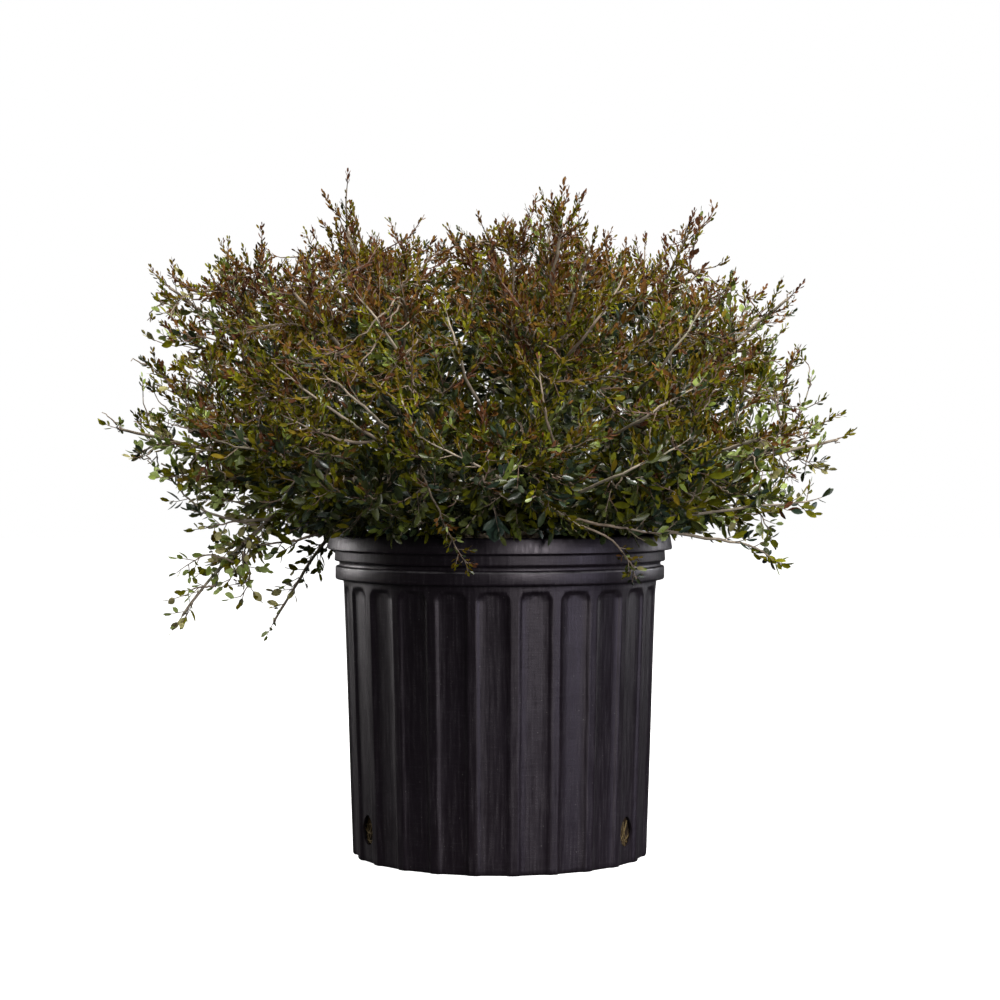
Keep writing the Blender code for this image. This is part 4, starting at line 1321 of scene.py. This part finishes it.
def recess(off_degrees, height):
    """How deep a point of the wall lies in its flute, 0 to 1: straight sides and a rounded arch."""
    across = abs(off_degrees) / RECESS_HALF_DEG
    above = max(0.0, (height - (FLUTE_TOP - ARCH_HEIGHT)) / ARCH_HEIGHT)
    inside = 1.0 - (across**ARCH_POWER + above**ARCH_POWER) ** (1.0 / ARCH_POWER)
    if above == 0.0:
        inside = 1.0 - across
    hollow = 1.0 - min(across, 1.0) ** 2
    return float(smooth(0.0, RECESS_SLOPE, inside)) * (0.68 + 0.32 * hollow)


def rounded(corners, radius, steps=3):
    """A profile of (radius, height) corners with each corner rounded off."""
    made = [corners[0]]
    for before, corner, after in zip(corners, corners[1:], corners[2:]):
        a, b, c = (np.array(p) for p in (before, corner, after))
        to_a, to_c = a - b, c - b
        cut = min(radius, 0.45 * np.linalg.norm(to_a), 0.45 * np.linalg.norm(to_c))
        start, end = b + unit(to_a) * cut, b + unit(to_c) * cut
        for k in range(steps + 1):
            s = k / steps
            made.append(tuple(bezier(start, b, end, s)))
    made.append(corners[-1])
    return made


def flute_levels():
    """The heights of the rows of corners up the fluted wall, close together in the arches."""
    arch_foot = FLUTE_TOP - ARCH_HEIGHT
    levels = [*FOOT_LEVELS, *(0.012 + 0.0094 * k for k in range(20))]
    levels = [level for level in levels if level < arch_foot - 0.002]
    return levels + [arch_foot - 0.001 + 0.00075 * k for k in range(14)]


def drain_angle(hole):
    flute = DRAIN_FLUTE + hole * FLUTES / DRAIN_HOLES
    return math.radians(FIRST_FLUTE_DEG + flute * 360.0 / FLUTES)


def make_pot():
    offs = FLUTE_COLUMNS_DEG * FLUTES
    flutes = [flute for flute in range(FLUTES) for _ in FLUTE_COLUMNS_DEG]
    pitch = 360.0 / FLUTES
    angles = [math.radians(FIRST_FLUTE_DEG + f * pitch + off) for f, off in zip(flutes, offs)]
    rows = []
    for height in flute_levels():
        tuck = FOOT_TUCK * max(0.0, 1.0 - height / FOOT_TUCK_HEIGHT) ** 2
        row = []
        for off, angle in zip(offs, angles):
            depth = FLUTE_DEPTH * recess(off, height)
            warp = WALL_WARP * noise.noise(ring_spot(angle, 2.0, height * 9.0))
            warp *= min(1.0, height / 0.02)
            row.append((wall_radius(height) - depth - tuck + warp - WALL_INSET, height))
        rows.append(row)
    inner_foot, inner_top = (
        wall_radius(height) - FLUTE_DEPTH - WALL_THICKNESS for height in (0.0, COLLAR_FOOT)
    )
    rim = [
        (wall_radius(FLUTE_TOP + 0.002), FLUTE_TOP + 0.002),
        (wall_radius(COLLAR_FOOT), COLLAR_FOOT),
        (COLLAR_RADIUS, COLLAR_FOOT),
        (COLLAR_RADIUS, COLLAR_TOP),
        (GROOVE_RADIUS, COLLAR_TOP),
        (GROOVE_RADIUS, BAND_FOOT),
        (BAND_RADIUS, BAND_FOOT),
        (BAND_RADIUS - 0.0006, LIP_FOOT),
        (LIP_RADIUS, LIP_FOOT),
        (LIP_RADIUS - LIP_LEAN, POT_HEIGHT),
        (MOUTH_RADIUS, POT_HEIGHT),
        (inner_top, COLLAR_FOOT),
    ]
    for radius, height in rounded(rim, RIM_ROUNDING):
        spots = [ring_spot(angle, 1.5, height * 12.0) for angle in angles]
        rows.append([(radius + RIM_WARP * noise.noise(s) - RIM_INSET, height) for s in spots])
    rows.append([(inner_foot, FLOOR_THICKNESS)] * len(angles))
    points = [
        (radius * math.cos(angle), radius * math.sin(angle), height)
        for row in rows
        for (radius, height), angle in zip(row, angles)
    ]
    made = solid_of("pot_moulded", points, closed_faces(len(rows), len(angles)))
    for hole in range(DRAIN_HOLES):
        cut_hole(made, drain_angle(hole), hole)
    made.data.polygons.foreach_set("use_smooth", [True] * len(made.data.polygons))
    made.data.set_sharp_from_angle(angle=math.radians(38.0))
    made.data.materials.append(pot_paint())
    # The second paint, and the faces along the collar's top outer edge that take it: a pale painted
    # highlight where that edge catches the light.
    made.data.materials.append(highlight_edge_paint())
    for face in made.data.polygons:
        outer = math.hypot(face.center.x, face.center.y) > GROOVE_RADIUS + 0.0012
        if outer and COLLAR_TOP - 0.0014 < face.center.z < COLLAR_TOP + 0.0003:
            face.material_index = 1
    return made


def cut_hole(target, angle, number):
    """Cuts one drain hole, an upright oval drawn in a little at its top."""
    out = np.array((math.cos(angle), math.sin(angle), 0.0))
    across = np.array((-math.sin(angle), math.cos(angle), 0.0))
    middle = wall_radius(0.0)
    points = []
    for distance in (middle - DRAIN_CUT, middle + DRAIN_CUT):
        for i in range(DRAIN_SIDES):
            turn = FULL_TURN * i / DRAIN_SIDES
            narrow = 1.0 - DRAIN_NARROWING * max(0.0, math.sin(turn))
            ragged = 1.0 + DRAIN_RAGGED * noise.noise(ring_spot(turn, 1.0, number * 5.0))
            aside = math.cos(turn) * narrow * ragged * DRAIN_WIDTH / 2.0
            point = out * distance + across * aside
            point[2] = DRAIN_HEIGHT + math.sin(turn) * ragged * DRAIN_TALL / 2.0
            points.append(tuple(point))
    cutter = solid_of("hole", points, closed_faces(2, DRAIN_SIDES))
    modifier = target.modifiers.new("hole", "BOOLEAN")
    modifier.operation = "DIFFERENCE"
    modifier.solver = "EXACT"
    modifier.object = cutter
    with bpy.context.temp_override(object=target, active_object=target):
        bpy.ops.object.modifier_apply(modifier="hole")
    bpy.data.objects.remove(cutter)


# The potting mix


def make_mix():
    """The mix that fills the pot: its body, the chips and grit on its top, and its roots."""
    foot, top = (
        wall_radius(height) - FLUTE_DEPTH - WALL_THICKNESS - MIX_INSET
        for height in (0.0, COLLAR_FOOT)
    )
    return make_mix_body(foot, top), make_chips(top), make_roots(foot)


def soil_dip(radius, inside_top):
    """How far the top of the mix falls towards the wall."""
    away = (radius - SOIL_LEVEL_RADIUS) / (inside_top - SOIL_LEVEL_RADIUS)
    return SOIL_DIP * np.maximum(0.0, away)


def make_mix_body(inside, inside_top):
    """A crumbled body."""
    profile = [(inside, FLOOR_THICKNESS + 0.0005)]
    for k in range(1, MIX_WALL_ROWS):
        height = 0.2 * k / (MIX_WALL_ROWS - 1) * 1.03
        profile.append((blend(inside, inside_top, height / COLLAR_FOOT), height))
    profile.append((inside_top, SOIL_TOP - SOIL_DIP - 0.002))
    for k in range(1, MIX_TOP_ROWS):
        radius = inside_top * (1.0 - k / MIX_TOP_ROWS)
        profile.append((radius, SOIL_TOP - MIX_DROP - soil_dip(radius, inside_top)))
    rows = np.empty((len(profile), MIX_SIDES, 3))
    for k, (radius, height) in enumerate(profile):
        for i in range(MIX_SIDES):
            angle = FULL_TURN * i / MIX_SIDES
            spot = ring_spot(angle, radius, height)
            rough = noise.noise(spot * 90.0) + 0.6 * noise.noise(spot * 260.0)
            if k <= MIX_WALL_ROWS:
                out = radius - 0.0006 - 0.0009 * abs(rough)
                rows[k, i] = (out * math.cos(angle), out * math.sin(angle), height)
            else:
                rows[k, i] = (spot.x, spot.y, height + 0.0011 * rough)
    points = np.concatenate([rows.reshape(-1, 3), [(0.0, 0.0, SOIL_TOP - MIX_DROP)]])
    pile = Pile()
    pile.add(points, tube_faces(len(profile), MIX_SIDES), 0)
    paint = soil_paint("mix", (0.010, 0.007, 0.005), (0.070, 0.045, 0.028), 150.0)
    return pile.made("mix_body", [paint])


def make_chips(inside_top):
    """Bark chips and white grit, each with six corners."""
    draw = np.random.RandomState(SEED + 1)
    radius = inside_top * 0.985 * np.sqrt(draw.random_sample(CHIPS))
    angle = draw.uniform(0.0, FULL_TURN, CHIPS)
    size = draw.uniform(0.0016, 0.0050, CHIPS)
    white = draw.random_sample(CHIPS) < 0.05
    long_ = np.where(white, 1.0, draw.uniform(1.0, 2.6, CHIPS))
    size = np.where(white, size * 0.6, size)
    shape = np.array([(1, 0, 0), (0, 1, 0), (-1, 0, 0), (0, -1, 0), (0, 0, 1), (0, 0, -1)], float)
    faces = np.array([
        (0, 1, 4), (1, 2, 4), (2, 3, 4), (3, 0, 4), (1, 0, 5), (2, 1, 5), (3, 2, 5), (0, 3, 5),
    ])
    corners = shape[None] * draw.uniform(0.6, 1.2, (CHIPS, 6, 1))
    corners = corners * np.stack([size * long_ / 2, size / 2, size * 0.3], axis=1)[:, None, :]
    turn = draw.uniform(0.0, FULL_TURN, CHIPS)
    tip = draw.normal(0.0, 0.3, CHIPS)
    c, s = np.cos(turn)[:, None], np.sin(turn)[:, None]
    x, y, z = corners[..., 0], corners[..., 1], corners[..., 2]
    z = z + x * np.sin(tip)[:, None]
    x, y = x * c - y * s, x * s + y * c
    x, y = x + (radius * np.cos(angle))[:, None], y + (radius * np.sin(angle))[:, None]
    level = SOIL_TOP - CHIP_DROP - soil_dip(radius, inside_top)
    kept = np.hypot(x, y).max(axis=1) < inside_top - 0.0005
    made = np.stack([x, y, z + level[:, None]], axis=2)
    tints = np.where(white, 3, draw.randint(0, 3, CHIPS))
    pile = Pile()
    pile.add_copies(made[kept], faces, tints[kept])
    paints = [
        soil_paint("chip_dark", (0.018, 0.010, 0.006), (0.060, 0.034, 0.020), 300.0),
        soil_paint("chip_brown", (0.045, 0.024, 0.013), (0.120, 0.070, 0.040), 300.0),
        soil_paint("chip_pale", (0.090, 0.060, 0.038), (0.220, 0.160, 0.105), 300.0),
        soil_paint("grit", (0.420, 0.400, 0.370), (0.700, 0.690, 0.660), 400.0),
    ]
    return pile.made("mix_chips", paints, shade_smooth=False)


def make_roots(inside):
    """Fine roots that run through the mix behind each drain hole."""
    draw = np.random.RandomState(SEED + 3)
    along = np.linspace(-1.0, 1.0, ROOT_POINTS)[:, None]
    points, radii = [], []
    for hole in range(DRAIN_HOLES):
        for _ in range(ROOTS):
            start, turn = draw.uniform(-1.0, 1.0, 2), draw.uniform(0.0, FULL_TURN)
            run = along * np.array([math.cos(turn), math.sin(turn)])
            bow = 0.3 * draw.normal() * (1.0 - along**2)
            flat = start * 0.5 + run + bow * np.array([-math.sin(turn), math.cos(turn)])
            across, up = flat[:, 0] * DRAIN_WIDTH * 0.6, flat[:, 1] * DRAIN_TALL * 0.6
            out = inside - 0.0004 + 0.0006 * np.abs(draw.normal(0.0, 1.0, 1))
            angles = drain_angle(hole) + across / inside
            height = np.maximum(DRAIN_HEIGHT + up, FLOOR_THICKNESS + 0.002)
            points.append(np.stack([out * np.cos(angles), out * np.sin(angles), height], axis=1))
            radii.append(np.linspace(draw.uniform(0.0004, 0.0009), 0.0003, ROOT_POINTS))
    pile = Pile()
    pile.add_stems(np.array(points), np.array(radii), 5, 0)
    paint = bark_paint("root_bark", (0.060, 0.040, 0.016), (0.170, 0.120, 0.050))
    return pile.made("mix_roots", [paint])


# The stage


def make_stage():
    ways = ((-1, -1), (1, -1), (1, 1), (-1, 1))
    corners = [(x * FLOOR_HALF, y * FLOOR_HALF, 0.0) for x, y in ways]
    floor = solid_of("floor", corners, [(0, 1, 2, 3)])
    floor.location.z = -FLOOR_DROP
    made, _, shader = shader_of("pale_floor")
    shader.inputs["Base Color"].default_value = (0.86, 0.86, 0.86, 1.0)
    shader.inputs["Roughness"].default_value = 0.9
    shader.inputs["Specular IOR Level"].default_value = 0.0
    shader.inputs["Emission Color"].default_value = (1.0, 1.0, 1.0, 1.0)
    shader.inputs["Emission Strength"].default_value = 0.97
    floor.data.materials.append(made)
    floor.visible_diffuse = False
    floor.visible_glossy = False

    world = bpy.data.worlds.new("studio")
    bpy.context.scene.world = world
    world.use_nodes = True
    tree = world.node_tree
    background = tree.nodes["Background"]
    output = tree.nodes["World Output"]
    background.inputs["Color"].default_value = (1.0, 1.0, 1.0, 1.0)
    background.inputs["Strength"].default_value = 1.0
    room = tree.nodes.new("ShaderNodeBackground")
    coordinates = tree.nodes.new("ShaderNodeTexCoord")
    split = tree.nodes.new("ShaderNodeSeparateXYZ")
    tree.links.new(coordinates.outputs["Generated"], split.inputs["Vector"])
    dark, dim, bright = (0.10, 0.10, 0.10), (0.22, 0.22, 0.23), (1.0, 0.99, 0.97)
    ramp = ramp_of(tree, split.outputs["Z"], ((0.0, dark), (0.25, dim), (1.0, bright)))
    tree.links.new(ramp, room.inputs["Color"])
    room.inputs["Strength"].default_value = 0.38
    path = tree.nodes.new("ShaderNodeLightPath")
    mix = tree.nodes.new("ShaderNodeMixShader")
    tree.links.new(path.outputs["Is Camera Ray"], mix.inputs["Fac"])
    tree.links.new(room.outputs[0], mix.inputs[1])
    tree.links.new(background.outputs[0], mix.inputs[2])
    tree.links.new(mix.outputs[0], output.inputs["Surface"])

    for row in LAMPS:
        lamp(*row)

    bpy.context.scene.view_settings.view_transform = "Standard"
    bpy.context.scene.view_settings.look = "None"
    camera_data = bpy.data.cameras.new("camera")
    camera_data.lens = 85.0
    camera_data.sensor_width = 36.0
    camera = placed("camera", camera_data)
    point_at(camera, CAMERA_PLACE, CAMERA_AIM)
    bpy.context.scene.camera = camera


def point_at(thing, place, aim):
    thing.location = place
    thing.rotation_mode = "QUATERNION"
    thing.rotation_quaternion = (aim - Vector(place)).to_track_quat("-Z", "Y")


def lamp(name, place, size, power, colour):
    data = bpy.data.lights.new(name, "AREA")
    data.shape = "DISK"
    data.size = size
    data.energy = power
    data.color = colour
    point_at(placed(name, data), place, LAMP_AIM)


# Putting it together


def set_on(piece, slot, *nodes):
    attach(piece, "root")
    if nodes:
        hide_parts(*nodes)


def main():
    make_stage()
    space = Space(limbs())
    grey, pale_grey, moss = (0.170, 0.135, 0.100), (0.420, 0.350, 0.270), (0.190, 0.200, 0.130)
    old_bark = bark_paint("old_bark", grey, pale_grey, moss)
    twig_bark = bark_paint("twig_bark", (0.130, 0.092, 0.066), (0.330, 0.260, 0.195))
    young_bark = bark_paint("young_bark", (0.095, 0.055, 0.042), (0.235, 0.150, 0.112))
    wood = Pile()
    grow_trunk(wood)
    grow_limbs(space, wood)
    boughs = wood.made("bark_of_trunk_and_boughs", [old_bark])
    set_on(boughs, "bark", "trunk", *(f"bough_{one.name}" for one in space.limbs))

    old, young, leaves = ({group: Pile() for group in GROUPS} for _ in range(3))
    main_growth(space, old, young, leaves)
    leaf_paints = []
    for name in TINT_NAMES:
        finish = (0.32, 0.75) if name in GLOSSY else (0.50, 0.04)
        leaf_paints.append(leaf_paint(f"leaf_{name}", TINTS[name], *finish))
    for group in GROUPS:
        members = [f"foliage_{one.name}" for one in space.limbs if group_of(one) == group]
        set_on(old[group].made(f"twigs_{group}", [old_bark, twig_bark]), "bark")
        set_on(young[group].made(f"shoots_{group}", [young_bark, twig_bark]), "bark")
        set_on(leaves[group].made(f"leaves_{group}", leaf_paints), "foliage", *members)

    set_on(make_pot(), "pot", "pot")
    body, chips, roots = make_mix()
    set_on(body, "potting_mix", "potting_mix")
    set_on(chips, "potting_mix")
    set_on(roots, "potting_mix")


main()
